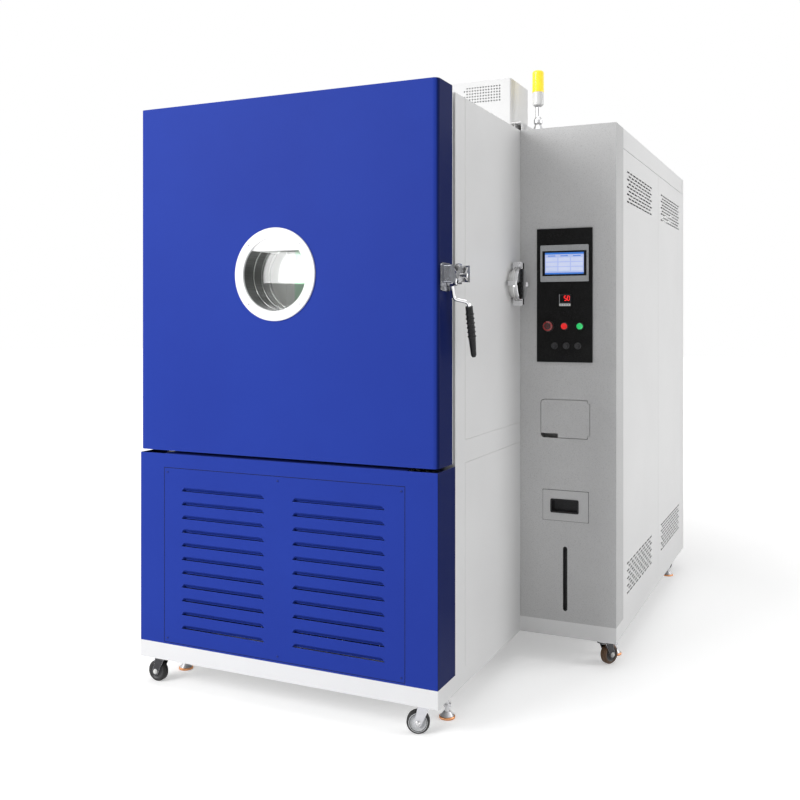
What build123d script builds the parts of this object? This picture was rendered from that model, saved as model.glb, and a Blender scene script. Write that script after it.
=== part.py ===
from build123d import *
import math
import os

os.makedirs("parts", exist_ok=True)

# Overall sizes, in millimetres
MAIN_WIDTH = 1180.0
CONTROL_WIDTH = 380.0
CONTROL_SETBACK = 850.0
TOTAL_DEPTH = 2545.0
ROOF_HEIGHT = 2090.0
CASTER_HEIGHT = 107.0
SKIRT_HEIGHT = 60.0

# Sheet, seams and running clearances
SHEET = 2.0
SEAM = 2.0
SEAT_GAP = 0.3
PIN_CLEARANCE = 0.05
LEDGE = 13.0

# Door, lower housing and chamber
DOOR_THICKNESS = 126.0
DOOR_ABOVE_ROOF = 17.0
DOOR_EDGE_RADIUS = 18.0
SEAL_DEPTH = 24.0
HOUSING_HEIGHT = 688.0
DOOR_GAP = 12.0
RAIL_HEIGHT = 76.0
FRAME_DEPTH = 90.0
WALL_THICKNESS = 90.0
CHAMBER_HEIGHT = 1000.0
CHAMBER_FLOOR_ABOVE_RAIL = 24.0
WORKING_DEPTH = 724.0
PLENUM_DEPTH = 220.0
LINER_SHEET = 1.5
PLUG_DEPTH = 50.0
PLUG_CLEARANCE = 12.0

# Round window in the door
WINDOW_FROM_RIGHT = 603.0
WINDOW_ABOVE_DOOR_BOTTOM = 628.0
WINDOW_RADIUS = 125.0
BEZEL_RADIUS = 160.0
BEZEL_PROUD = 6.0
SLEEVE_WALL = 2.0
LAMP_CHORD = 83.0
LAMP_DEPTH = 46.0
PANE_THICKNESS = 6.0

# Hinges of the door, outside the left wall
HINGE_OUT = 20.0
KNUCKLE_RADIUS = 11.0
HINGE_HEIGHT = 120.0
HINGE_PIN_RADIUS = 5.0
HINGE_LEAF = 6.0

# Supply gland at the rear
GLAND_PROUD = 30.0
GLAND_BORE_RADIUS = 9.0
GLAND_RADIUS = 17.0

# Casters and levelling feet
WHEEL_RADIUS = 38.0
WHEEL_WIDTH = 30.0
CASTER_TRAIL = 30.0
CASTER_INSET = 62.0
FOOT_INSET = 50.0
FOOT_BEHIND_CASTER = 140.0

# Planes of the cabinet, from the middle of its footprint on the floor
REACH_LEFT = HINGE_OUT + KNUCKLE_RADIUS
X_LEFT = REACH_LEFT - (REACH_LEFT + MAIN_WIDTH + CONTROL_WIDTH) / 2
X_INNER = X_LEFT + MAIN_WIDTH
X_RIGHT = X_INNER + CONTROL_WIDTH
Y_FRONT = BEZEL_PROUD - (BEZEL_PROUD + TOTAL_DEPTH + GLAND_PROUD) / 2
Y_FRAME = Y_FRONT + DOOR_THICKNESS + SEAL_DEPTH
Y_FRAME_BACK = Y_FRAME + FRAME_DEPTH
Y_CONTROL = Y_FRONT + CONTROL_SETBACK
Y_REAR = Y_FRONT + TOTAL_DEPTH
Z_BASE = CASTER_HEIGHT
Z_DECK = Z_BASE + SKIRT_HEIGHT
Z_HOUSING_TOP = Z_DECK + HOUSING_HEIGHT
Z_DOOR_BOTTOM = Z_HOUSING_TOP + DOOR_GAP
Z_DOOR_TOP = ROOF_HEIGHT + DOOR_ABOVE_ROOF
Z_RAIL = Z_HOUSING_TOP + SEAM
Z_RAIL_TOP = Z_RAIL + RAIL_HEIGHT
X_MOUTH_LEFT = X_LEFT + WALL_THICKNESS
X_MOUTH_RIGHT = X_INNER - WALL_THICKNESS
X_MIDDLE = (X_LEFT + X_INNER) / 2
Z_FLOOR = Z_RAIL_TOP + CHAMBER_FLOOR_ABOVE_RAIL
Z_CEILING = Z_FLOOR + CHAMBER_HEIGHT
Y_BAFFLE = Y_FRAME + SHEET + WORKING_DEPTH
Y_CHAMBER_BACK = Y_BAFFLE + PLENUM_DEPTH
Y_FOAM_BACK = Y_CHAMBER_BACK + WALL_THICKNESS
Y_PLENUM = (Y_BAFFLE + Y_CHAMBER_BACK) / 2


def block(x0, x1, y0, y1, z0, z1, mode=Mode.ADD):
    """A rectangular block between two planes in each direction."""
    with Locations(((x0 + x1) / 2, (y0 + y1) / 2, (z0 + z1) / 2)):
        Box(x1 - x0, y1 - y0, z1 - z0, mode=mode)


def front_plane(y):
    """A sketch plane that faces the front, with X to the right and Z up."""
    return Plane.XZ.offset(-y)


def side_plane(x):
    """A sketch plane that faces right, with Y to the rear and Z up."""
    return Plane.YZ.offset(x)


def panel_outline(x0, x1, z0, z1, radius=0.0, mode=Mode.ADD):
    """A rectangle between two corners, with rounded corners where a radius is given."""
    with Locations(((x0 + x1) / 2, (z0 + z1) / 2)):
        if radius > 0:
            RectangleRounded(x1 - x0, z1 - z0, radius, mode=mode)
        else:
            Rectangle(x1 - x0, z1 - z0, mode=mode)


def finish(builder, name):
    """Labels a finished piece and writes it."""
    builder.part.label = name
    export_step(builder.part, "parts/" + name + ".step")


# Casters: swivel centres and the way each wheel trails at rest
CASTERS = {
    "front_left": (X_LEFT + CASTER_INSET, Y_FRONT + CASTER_INSET, 180.0),
    "front_right": (X_INNER - CASTER_INSET, Y_FRONT + CASTER_INSET, 200.0),
    "control_front": (X_RIGHT - CASTER_INSET, Y_CONTROL + CASTER_INSET, 60.0),
    "rear_left": (X_LEFT + CASTER_INSET, Y_REAR - CASTER_INSET, 120.0),
    "rear_right": (X_RIGHT - CASTER_INSET, Y_REAR - CASTER_INSET, 250.0),
}
FEET = {
    "front_left": (X_LEFT + FOOT_INSET, Y_FRONT + CASTER_INSET + FOOT_BEHIND_CASTER),
    "front_right": (X_INNER - FOOT_INSET, Y_FRONT + CASTER_INSET + FOOT_BEHIND_CASTER),
    "control_front": (X_RIGHT - FOOT_INSET, Y_CONTROL + CASTER_INSET + FOOT_BEHIND_CASTER),
    "rear_left": (X_LEFT + FOOT_INSET, Y_REAR - CASTER_INSET - FOOT_BEHIND_CASTER),
    "rear_right": (X_RIGHT - FOOT_INSET, Y_REAR - CASTER_INSET - FOOT_BEHIND_CASTER),
}

# Parts of a caster, upwards from the floor
AXLE_RADIUS = 5.0
PLATE_THICKNESS = 4.0
RACE_HEIGHT = 10.0
RACE_RADIUS = 26.0
KINGPIN_RADIUS = 6.0
KINGPIN_HEAD_RADIUS = 11.0
KINGPIN_HEAD = 4.0
CROWN_THICKNESS = 5.0
FORK_SIDE = 3.0
WHEEL_SIDE_GAP = 1.0
TREAD_SHOULDER = 5.0
TREAD_WIDTH = 16.0
Z_PLATE = Z_BASE - PLATE_THICKNESS
Z_RACE = Z_PLATE - RACE_HEIGHT
Z_CROWN_TOP = Z_RACE - SEAT_GAP
Z_CROWN = Z_CROWN_TOP - CROWN_THICKNESS
FLANGE_WIDTH = 115.0
FOOT_STEM_RADIUS = 8.0
FOOT_PAD_RADIUS = 27.0
FOOT_PAD_HEIGHT = 22.0
FOOT_TRAVEL = 20.0
FOOT_TOP_GAP = 2.0
SKIRT_SHEET = 3.0
FOOT_STEM_TOP = Z_DECK - SKIRT_SHEET - FOOT_TRAVEL - FOOT_TOP_GAP


def base_outline(inset):
    """The L-shaped footprint, drawn inwards by an inset."""
    with BuildLine() as footprint:
        Polyline(
            (X_LEFT + inset, Y_FRONT + inset),
            (X_INNER - inset, Y_FRONT + inset),
            (X_INNER - inset, Y_CONTROL + inset),
            (X_RIGHT - inset, Y_CONTROL + inset),
            (X_RIGHT - inset, Y_REAR - inset),
            (X_LEFT + inset, Y_REAR - inset),
            close=True,
        )
    make_face(footprint.edges())


# Base: an L-shaped tray turned down, with an inward flange that the casters bolt to
with BuildPart() as base_frame:
    with BuildSketch(Plane.XY.offset(Z_BASE)):
        base_outline(0.0)
    extrude(amount=SKIRT_HEIGHT)
    with BuildSketch(Plane.XY.offset(Z_BASE + SKIRT_SHEET)):
        base_outline(SKIRT_SHEET)
    extrude(amount=SKIRT_HEIGHT - 2 * SKIRT_SHEET, mode=Mode.SUBTRACT)
    with BuildSketch(Plane.XY.offset(Z_BASE)):
        base_outline(FLANGE_WIDTH)
    extrude(amount=SKIRT_SHEET, mode=Mode.SUBTRACT)
    with Locations([(x, y, Z_BASE) for x, y in FEET.values()]):
        Cylinder(
            FOOT_STEM_RADIUS + PIN_CLEARANCE,
            SKIRT_SHEET,
            align=(Align.CENTER, Align.CENTER, Align.MIN),
            mode=Mode.SUBTRACT,
        )
    # Caster top plates, races and kingpins, one solid under each corner
    for caster_x, caster_y, _ in CASTERS.values():
        with BuildSketch(Plane.XY.offset(Z_PLATE)):
            with Locations((caster_x, caster_y)):
                RectangleRounded(94.0, 76.0, 6.0)
        extrude(amount=PLATE_THICKNESS)
        with BuildSketch(Plane.XY.offset(Z_RACE)):
            with Locations((caster_x, caster_y)):
                Circle(RACE_RADIUS)
        extrude(amount=RACE_HEIGHT)
        with BuildSketch(Plane.XY.offset(Z_CROWN - SEAT_GAP)):
            with Locations((caster_x, caster_y)):
                Circle(KINGPIN_RADIUS)
        extrude(amount=Z_RACE - Z_CROWN + SEAT_GAP)
        with BuildSketch(Plane.XY.offset(Z_CROWN - SEAT_GAP)):
            with Locations((caster_x, caster_y)):
                Circle(KINGPIN_HEAD_RADIUS)
        extrude(amount=-KINGPIN_HEAD)
finish(base_frame, "base_frame")


def caster_place(name):
    """The caster's own frame: swivel axis upwards and X along the trail."""
    x, y, turn = CASTERS[name]
    return Location((x, y, 0), (0, 0, turn))


# The fork and wheel of one caster, made about their own swivel axis
FORK_GAP = WHEEL_WIDTH / 2 + WHEEL_SIDE_GAP
with BuildPart() as fork_form:
    with BuildSketch(Plane.XY.offset(Z_CROWN)):
        with BuildSketch(mode=Mode.PRIVATE) as crown_ends:
            Circle(RACE_RADIUS)
            with Locations((CASTER_TRAIL * 0.7, 0)):
                Rectangle(20.0, 2 * (FORK_GAP + FORK_SIDE))
        make_hull(crown_ends.sketch.edges())
        Circle(KINGPIN_RADIUS + PIN_CLEARANCE, mode=Mode.SUBTRACT)
    extrude(amount=CROWN_THICKNESS)
    for side in (-1, 1):
        with BuildSketch(Plane.XZ.offset(side * FORK_GAP)):
            with BuildSketch(mode=Mode.PRIVATE) as leg_ends:
                with Locations((CASTER_TRAIL, WHEEL_RADIUS)):
                    Circle(12.0)
                with Locations((CASTER_TRAIL * 0.4, Z_CROWN + 1.0)):
                    Rectangle(38.0, 2.0)
            make_hull(leg_ends.sketch.edges())
        extrude(amount=side * FORK_SIDE)
    with BuildSketch(Plane.XZ.offset(-FORK_GAP - FORK_SIDE - 3.0)):
        with Locations((CASTER_TRAIL, WHEEL_RADIUS)):
            Circle(AXLE_RADIUS)
    extrude(amount=2 * (FORK_GAP + FORK_SIDE + 3.0))

with BuildPart() as wheel_form:
    with BuildSketch(Plane.XZ):
        with BuildLine():
            Polyline(
                (AXLE_RADIUS + PIN_CLEARANCE, 0),
                (AXLE_RADIUS + PIN_CLEARANCE, WHEEL_WIDTH / 2),
                (12.0, WHEEL_WIDTH / 2),
                (14.0, WHEEL_WIDTH / 2 - 5.0),
                (24.0, WHEEL_WIDTH / 2 - 5.0),
                (27.0, WHEEL_WIDTH / 2 - 1.0),
                (WHEEL_RADIUS - TREAD_SHOULDER, WHEEL_WIDTH / 2 - 1.0),
                (WHEEL_RADIUS, TREAD_WIDTH / 2),
                (WHEEL_RADIUS, 0),
                close=True,
            )
        make_face()
        mirror(about=Plane.XZ)
    revolve(axis=Axis.Z)

for caster_name in CASTERS:
    with BuildPart() as caster_fork:
        add(fork_form.part.moved(caster_place(caster_name)))
    finish(caster_fork, "caster_fork_" + caster_name)
    with BuildPart() as caster_wheel:
        upright = Location((CASTER_TRAIL, 0, WHEEL_RADIUS), (90, 0, 0))
        add(wheel_form.part.moved(caster_place(caster_name) * upright))
    finish(caster_wheel, "caster_wheel_" + caster_name)

# Levelling feet: a domed pad on a threaded stem with a lock nut
with BuildPart() as levelling_feet:
    for foot_x, foot_y in FEET.values():
        with BuildSketch(Plane.XZ.offset(-foot_y)):
            with BuildLine():
                Polyline(
                    (foot_x, 0),
                    (foot_x + FOOT_PAD_RADIUS, 0),
                    (foot_x + FOOT_PAD_RADIUS, 7.0),
                    (foot_x + FOOT_PAD_RADIUS - 4.0, 9.0),
                )
                Line((foot_x + FOOT_PAD_RADIUS - 4.0, 9.0), (foot_x + 12.0, FOOT_PAD_HEIGHT))
                Polyline(
                    (foot_x + 12.0, FOOT_PAD_HEIGHT),
                    (foot_x + FOOT_STEM_RADIUS, FOOT_PAD_HEIGHT),
                    (foot_x + FOOT_STEM_RADIUS, FOOT_STEM_TOP),
                    (foot_x, FOOT_STEM_TOP),
                    (foot_x, 0),
                )
            make_face()
        revolve(axis=Axis((foot_x, foot_y, 0), (0, 0, 1)))
        with BuildSketch(Plane.XY.offset(FOOT_PAD_HEIGHT + 16.0)):
            with Locations((foot_x, foot_y)):
                RegularPolygon(14.0, 6)
        extrude(amount=10.0)
finish(levelling_feet, "levelling_feet")

# Front frame: a shallow pan round the chamber mouth
with BuildPart() as front_frame:
    with BuildSketch(front_plane(Y_FRAME)):
        panel_outline(X_LEFT, X_INNER, Z_RAIL, ROOF_HEIGHT - SHEET)
    extrude(amount=-FRAME_DEPTH)
    with BuildSketch(front_plane(Y_FRAME + SHEET)):
        panel_outline(X_LEFT + SHEET, X_INNER - SHEET, Z_RAIL + SHEET, ROOF_HEIGHT - 2 * SHEET)
    extrude(amount=SHEET - FRAME_DEPTH, mode=Mode.SUBTRACT)
    with BuildSketch(front_plane(Y_FRAME)):
        panel_outline(
            X_MOUTH_LEFT - LINER_SHEET,
            X_MOUTH_RIGHT + LINER_SHEET,
            Z_FLOOR - LINER_SHEET,
            Z_CEILING + LINER_SHEET,
        )
    extrude(amount=-SHEET, mode=Mode.SUBTRACT)
finish(front_frame, "front_frame")

# Posts and rails, each a rebated section with a ledge behind the edge of its panel
POST_SIZE = 40.0
POST_WALL = 3.0
CAP_HEIGHT = 78.0
CONTROL_FRONT_DEPTH = 128.0
CONTROL_SEAM = 914.0
Z_CAP = ROOF_HEIGHT - CAP_HEIGHT
Y_CONTROL_SIDE = Y_CONTROL + CONTROL_FRONT_DEPTH
Y_CENTRE_SEAM = Y_CONTROL + CONTROL_SEAM
Y_REAR_POST = Y_REAR - POST_SIZE
Z_POST_TOP = ROOF_HEIGHT - SHEET


def corner_post(x_corner, inward):
    """A rear corner post: a square tube flush with the corner and a ledge each way."""
    with BuildSketch(Plane.XY.offset(Z_DECK)) as section:
        with BuildLine():
            Polyline(
                (x_corner, Y_REAR),
                (x_corner + inward * POST_SIZE, Y_REAR),
                (x_corner + inward * POST_SIZE, Y_REAR - SHEET),
                (x_corner + inward * (POST_SIZE + LEDGE), Y_REAR - SHEET),
                (x_corner + inward * (POST_SIZE + LEDGE), Y_REAR - SHEET - POST_WALL),
                (x_corner + inward * POST_SIZE, Y_REAR - SHEET - POST_WALL),
                (x_corner + inward * POST_SIZE, Y_REAR_POST),
                (x_corner + inward * (SHEET + POST_WALL), Y_REAR_POST),
                (x_corner + inward * (SHEET + POST_WALL), Y_REAR_POST - LEDGE),
                (x_corner + inward * SHEET, Y_REAR_POST - LEDGE),
                (x_corner + inward * SHEET, Y_REAR_POST),
                (x_corner, Y_REAR_POST),
                close=True,
            )
        make_face()
        with Locations((x_corner + inward * POST_SIZE / 2, Y_REAR - POST_SIZE / 2)):
            Rectangle(POST_SIZE - 3 * POST_WALL, POST_SIZE - 3 * POST_WALL, mode=Mode.SUBTRACT)
    extrude(section.sketch, amount=Z_POST_TOP - Z_DECK)


def side_rail(x_corner, inward):
    """A mid rail: a channel with a flush face and a ledge above and below it."""
    x_deep = x_corner + inward * POST_SIZE
    x_face = x_corner + inward * SHEET
    x_wall = x_face + inward * POST_WALL
    with BuildSketch(Plane.XZ.offset(-Y_FRAME_BACK - SEAT_GAP)) as section:
        with BuildLine():
            Polyline(
                (x_corner, Z_RAIL),
                (x_corner, Z_RAIL_TOP),
                (x_face, Z_RAIL_TOP),
                (x_face, Z_RAIL_TOP + LEDGE),
                (x_wall, Z_RAIL_TOP + LEDGE),
                (x_wall, Z_RAIL_TOP),
                (x_deep, Z_RAIL_TOP),
                (x_deep, Z_RAIL_TOP - POST_WALL),
                (x_wall, Z_RAIL_TOP - POST_WALL),
                (x_wall, Z_RAIL + POST_WALL),
                (x_deep, Z_RAIL + POST_WALL),
                (x_deep, Z_RAIL),
                (x_wall, Z_RAIL),
                (x_wall, Z_RAIL - LEDGE),
                (x_face, Z_RAIL - LEDGE),
                (x_face, Z_RAIL),
                close=True,
            )
        make_face()
    extrude(section.sketch, amount=-(Y_REAR_POST - LEDGE - Y_FRAME_BACK - 2 * SEAT_GAP))


def front_post(x_corner, inward):
    """A lower front post: a square tube with a ledge behind the lower panel's edge."""
    with BuildSketch(Plane.XY.offset(Z_DECK)) as section:
        with Locations((x_corner + inward * POST_SIZE / 2, (Y_FRAME + Y_FRAME_BACK) / 2)):
            Rectangle(POST_SIZE, FRAME_DEPTH)
            Rectangle(POST_SIZE - 3 * POST_WALL, FRAME_DEPTH - 3 * POST_WALL, mode=Mode.SUBTRACT)
    extrude(section.sketch, amount=Z_RAIL - Z_DECK)
    x_ledge = x_corner + inward * (SHEET + POST_WALL / 2)
    block(
        x_ledge - POST_WALL / 2,
        x_ledge + POST_WALL / 2,
        Y_FRAME_BACK,
        Y_FRAME_BACK + LEDGE,
        Z_DECK,
        Z_RAIL - LEDGE - SEAT_GAP,
    )


with BuildPart() as cabinet_posts:
    front_post(X_LEFT, 1)
    front_post(X_INNER, -1)
    corner_post(X_LEFT, 1)
    corner_post(X_RIGHT, -1)
    side_rail(X_LEFT, 1)
    side_rail(X_INNER, -1)
    # Flat posts behind the two vertical seams of the control side
    for seam_y, seam_start in ((Y_CONTROL_SIDE, Z_DECK + SHEET), (Y_CENTRE_SEAM, Z_DECK)):
        block(
            X_RIGHT - SHEET - POST_SIZE,
            X_RIGHT - SHEET,
            seam_y - LEDGE,
            seam_y + LEDGE,
            seam_start,
            Z_CAP,
        )
    # The post between the two rear panels
    block(
        X_INNER - POST_SIZE / 2,
        X_INNER + POST_SIZE / 2,
        Y_REAR - SHEET - POST_WALL,
        Y_REAR - SHEET,
        Z_DECK,
        Z_POST_TOP,
    )
finish(cabinet_posts, "cabinet_posts")

# Cable port through the right wall
PORT_FROM_FRONT = 747.0
PORT_ABOVE_FLOOR = 1477.0
PORT_BORE_RADIUS = 52.0
PORT_TUBE_WALL = 3.0
PORT_FLANGE_RADIUS = 65.0
PORT_NECK = 16.0
PORT_FLANGE = 11.0
PORT_RING = 4.0
PORT_INNER_FLANGE = 3.0
Y_PORT = Y_FRONT + PORT_FROM_FRONT
PORT_TUBE_RADIUS = PORT_BORE_RADIUS + PORT_TUBE_WALL
PORT_HOLE_RADIUS = PORT_TUBE_RADIUS + SEAT_GAP

with BuildPart() as port_tube:
    with BuildSketch(Plane.XZ.offset(-Y_PORT)):
        with BuildLine():
            Polyline(
                (X_MOUTH_RIGHT - PORT_INNER_FLANGE, PORT_ABOVE_FLOOR + PORT_BORE_RADIUS),
                (X_INNER + PORT_NECK + PORT_FLANGE, PORT_ABOVE_FLOOR + PORT_BORE_RADIUS),
                (X_INNER + PORT_NECK + PORT_FLANGE, PORT_ABOVE_FLOOR + PORT_FLANGE_RADIUS - 2.0),
                (X_INNER + PORT_NECK + PORT_FLANGE - 2.0, PORT_ABOVE_FLOOR + PORT_FLANGE_RADIUS),
                (X_INNER + PORT_NECK, PORT_ABOVE_FLOOR + PORT_FLANGE_RADIUS),
                (X_INNER + PORT_NECK - 4.0, PORT_ABOVE_FLOOR + PORT_TUBE_RADIUS),
                (X_MOUTH_RIGHT, PORT_ABOVE_FLOOR + PORT_TUBE_RADIUS),
                (X_MOUTH_RIGHT, PORT_ABOVE_FLOOR + PORT_FLANGE_RADIUS),
                (X_MOUTH_RIGHT - PORT_INNER_FLANGE, PORT_ABOVE_FLOOR + PORT_FLANGE_RADIUS),
                close=True,
            )
        make_face()
    revolve(axis=Axis((X_INNER, Y_PORT, PORT_ABOVE_FLOOR), (1, 0, 0)))
finish(port_tube, "port_tube")

# Blank cover with its centring ring, held by four double claws
X_COVER = X_INNER + PORT_NECK + PORT_FLANGE
CLAW_WIDTH = 17.0
CLAW_OUTER = 85.0
CLAW_GRIP = 58.0
X_CLAW_IN = X_INNER + 7.0
X_CLAW_OUT = X_COVER + PORT_RING + PORT_FLANGE + 4.0
with BuildPart() as port_cover:
    with BuildSketch(Plane.XZ.offset(-Y_PORT)):
        with BuildLine():
            Polyline(
                (X_COVER, PORT_ABOVE_FLOOR),
                (X_COVER, PORT_ABOVE_FLOOR + PORT_FLANGE_RADIUS - 7.0),
                (X_COVER + PORT_RING, PORT_ABOVE_FLOOR + PORT_FLANGE_RADIUS - 7.0),
                (X_COVER + PORT_RING, PORT_ABOVE_FLOOR + PORT_FLANGE_RADIUS),
                (X_COVER + PORT_RING + PORT_FLANGE - 2.0, PORT_ABOVE_FLOOR + PORT_FLANGE_RADIUS),
                (X_COVER + PORT_RING + PORT_FLANGE, PORT_ABOVE_FLOOR + PORT_FLANGE_RADIUS - 2.0),
                (X_COVER + PORT_RING + PORT_FLANGE, PORT_ABOVE_FLOOR),
                close=True,
            )
        make_face()
    revolve(axis=Axis((X_COVER, Y_PORT, PORT_ABOVE_FLOOR), (1, 0, 0)))
    # One C-shaped claw per side, with the bolt that draws it on
    for quarter in range(4):
        turned = Plane(
            origin=(X_INNER, Y_PORT, PORT_ABOVE_FLOOR),
            x_dir=(1, 0, 0),
            z_dir=Vector(0, 0, 1).rotate(Axis.X, 90.0 * quarter + 90.0),
        )
        with BuildSketch(turned.offset(-CLAW_WIDTH / 2)):
            with BuildLine():
                Polyline(
                    (X_CLAW_IN - X_INNER, CLAW_GRIP),
                    (X_CLAW_IN - X_INNER, CLAW_OUTER - 5.0),
                    (X_CLAW_IN - X_INNER + 5.0, CLAW_OUTER),
                    (X_CLAW_OUT - X_INNER - 5.0, CLAW_OUTER),
                    (X_CLAW_OUT - X_INNER, CLAW_OUTER - 5.0),
                    (X_CLAW_OUT - X_INNER, CLAW_GRIP),
                    (X_COVER + PORT_RING + PORT_FLANGE - X_INNER + SEAT_GAP, CLAW_GRIP),
                    (
                        X_COVER + PORT_RING + PORT_FLANGE - X_INNER + SEAT_GAP,
                        PORT_FLANGE_RADIUS + SEAT_GAP,
                    ),
                    (PORT_NECK - SEAT_GAP, PORT_FLANGE_RADIUS + SEAT_GAP),
                    (PORT_NECK - 5.0, CLAW_GRIP),
                    close=True,
                )
            make_face()
        extrude(amount=CLAW_WIDTH)
        with BuildSketch(turned.offset(CLAW_WIDTH / 2)):
            with Locations((X_COVER - X_INNER + PORT_RING / 2, (PORT_FLANGE_RADIUS + CLAW_OUTER) / 2)):
                RegularPolygon(6.5, 6)
        extrude(amount=4.0)
finish(port_cover, "port_cover")

# Foam slabs round the chamber
MOTOR_SHAFT_RADIUS = 9.0
SHAFT_HOLE_RADIUS = 16.0
X_FOAM_LEFT = X_LEFT + SHEET
X_FOAM_RIGHT = X_INNER - SHEET
Z_FOAM_TOP = ROOF_HEIGHT - 2 * SHEET
Z_SIDE_FOAM = Z_RAIL_TOP + LEDGE
X_LINER_LEFT = X_MOUTH_LEFT - LINER_SHEET
X_LINER_RIGHT = X_MOUTH_RIGHT + LINER_SHEET
Z_LINER_BOTTOM = Z_FLOOR - LINER_SHEET
Z_LINER_TOP = Z_CEILING + LINER_SHEET
Y_LINER_BACK = Y_CHAMBER_BACK + LINER_SHEET

with BuildPart() as insulation:
    block(X_FOAM_LEFT, X_LINER_LEFT, Y_FRAME + SHEET, Y_FOAM_BACK, Z_SIDE_FOAM, Z_FOAM_TOP)
    block(X_LINER_RIGHT, X_FOAM_RIGHT, Y_FRAME + SHEET, Y_FOAM_BACK, Z_SIDE_FOAM, Z_FOAM_TOP)
    with BuildSketch(side_plane(X_LINER_RIGHT)):
        with Locations((Y_PORT, PORT_ABOVE_FLOOR)):
            Circle(PORT_HOLE_RADIUS)
    extrude(amount=WALL_THICKNESS, mode=Mode.SUBTRACT)
    # Floor slab between the rails, roof slab with the shaft hole, and back slab
    block(
        X_LEFT + POST_SIZE + SEAT_GAP,
        X_INNER - POST_SIZE - SEAT_GAP,
        Y_FRAME + SHEET,
        Y_FOAM_BACK,
        Z_RAIL + SHEET,
        Z_SIDE_FOAM,
    )
    block(X_LINER_LEFT, X_LINER_RIGHT, Y_FRAME + SHEET, Y_FOAM_BACK, Z_SIDE_FOAM, Z_LINER_BOTTOM)
    block(X_LINER_LEFT, X_LINER_RIGHT, Y_FRAME + SHEET, Y_FOAM_BACK, Z_LINER_TOP, Z_FOAM_TOP)
    block(X_LINER_LEFT, X_LINER_RIGHT, Y_LINER_BACK, Y_FOAM_BACK, Z_LINER_BOTTOM, Z_LINER_TOP)
    with Locations((X_MIDDLE, Y_PLENUM, Z_LINER_TOP)):
        Cylinder(
            SHAFT_HOLE_RADIUS,
            Z_FOAM_TOP - Z_LINER_TOP,
            align=(Align.CENTER, Align.CENTER, Align.MIN),
            mode=Mode.SUBTRACT,
        )
finish(insulation, "insulation")

# Stainless liner: a box open at the front, with a pair of shelf rails on its walls
SHELF_HEIGHT = 420.0
RAIL_REACH = 22.0
RAIL_SETBACK = 60.0
RAIL_LIP = 12.0
Z_SHELF = Z_FLOOR + SHELF_HEIGHT
with BuildPart() as chamber_liner:
    with BuildSketch(front_plane(Y_FRAME + SHEET)):
        panel_outline(X_LINER_LEFT, X_LINER_RIGHT, Z_LINER_BOTTOM, Z_LINER_TOP)
    extrude(amount=-(Y_LINER_BACK - Y_FRAME - SHEET))
    with BuildSketch(front_plane(Y_FRAME + SHEET)):
        panel_outline(X_MOUTH_LEFT, X_MOUTH_RIGHT, Z_FLOOR, Z_CEILING)
    extrude(amount=-(Y_CHAMBER_BACK - Y_FRAME - SHEET), mode=Mode.SUBTRACT)
    with BuildSketch(side_plane(X_MOUTH_RIGHT)):
        with Locations((Y_PORT, PORT_ABOVE_FLOOR)):
            Circle(PORT_HOLE_RADIUS)
    extrude(amount=LINER_SHEET, mode=Mode.SUBTRACT)
    with Locations((X_MIDDLE, Y_PLENUM, Z_CEILING)):
        Cylinder(
            SHAFT_HOLE_RADIUS,
            LINER_SHEET,
            align=(Align.CENTER, Align.CENTER, Align.MIN),
            mode=Mode.SUBTRACT,
        )
    for wall, inward in ((X_MOUTH_LEFT, 1), (X_MOUTH_RIGHT, -1)):
        with BuildSketch(front_plane(Y_FRAME + RAIL_SETBACK)):
            with BuildLine():
                Polyline(
                    (wall, Z_SHELF),
                    (wall + inward * RAIL_REACH, Z_SHELF),
                    (wall + inward * RAIL_REACH, Z_SHELF - SHEET),
                    (wall + inward * SHEET, Z_SHELF - SHEET),
                    (wall + inward * SHEET, Z_SHELF - RAIL_LIP),
                    (wall, Z_SHELF - RAIL_LIP),
                    close=True,
                )
            make_face()
        extrude(amount=-(Y_BAFFLE - Y_FRAME - RAIL_SETBACK - SEAM))
finish(chamber_liner, "chamber_liner")

# Wire shelf: a rim of round bar with cross wires
SHELF_WIRE = 2.5
SHELF_RIM = 4.0
SHELF_SIDE_GAP = 6.0
SHELF_PITCH = 55.0
Y_SHELF_FRONT = Y_FRAME + RAIL_SETBACK + 20.0
Y_SHELF_BACK = Y_BAFFLE - 24.0
Z_WIRE = Z_SHELF + SEAT_GAP + SHELF_RIM
with BuildPart() as wire_shelf:
    shelf_left = X_MOUTH_LEFT + SHELF_SIDE_GAP
    shelf_right = X_MOUTH_RIGHT - SHELF_SIDE_GAP
    with BuildSketch(Plane.XY.offset(Z_WIRE - SHELF_RIM)):
        panel_outline(shelf_left, shelf_right, Y_SHELF_FRONT, Y_SHELF_BACK, 20.0)
        panel_outline(
            shelf_left + 2 * SHELF_RIM,
            shelf_right - 2 * SHELF_RIM,
            Y_SHELF_FRONT + 2 * SHELF_RIM,
            Y_SHELF_BACK - 2 * SHELF_RIM,
            20.0 - 2 * SHELF_RIM,
            Mode.SUBTRACT,
        )
    extrude(amount=2 * SHELF_RIM)
    wire_count = int((shelf_right - shelf_left) / SHELF_PITCH)
    with BuildSketch(front_plane(Y_SHELF_FRONT + SHELF_RIM)):
        with Locations(((shelf_left + shelf_right) / 2, Z_WIRE)):
            with GridLocations(SHELF_PITCH, 0, wire_count, 1):
                Rectangle(2 * SHELF_WIRE, 2 * SHELF_WIRE)
    extrude(amount=-(Y_SHELF_BACK - Y_SHELF_FRONT - 2 * SHELF_RIM))
finish(wire_shelf, "wire_shelf")

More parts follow.
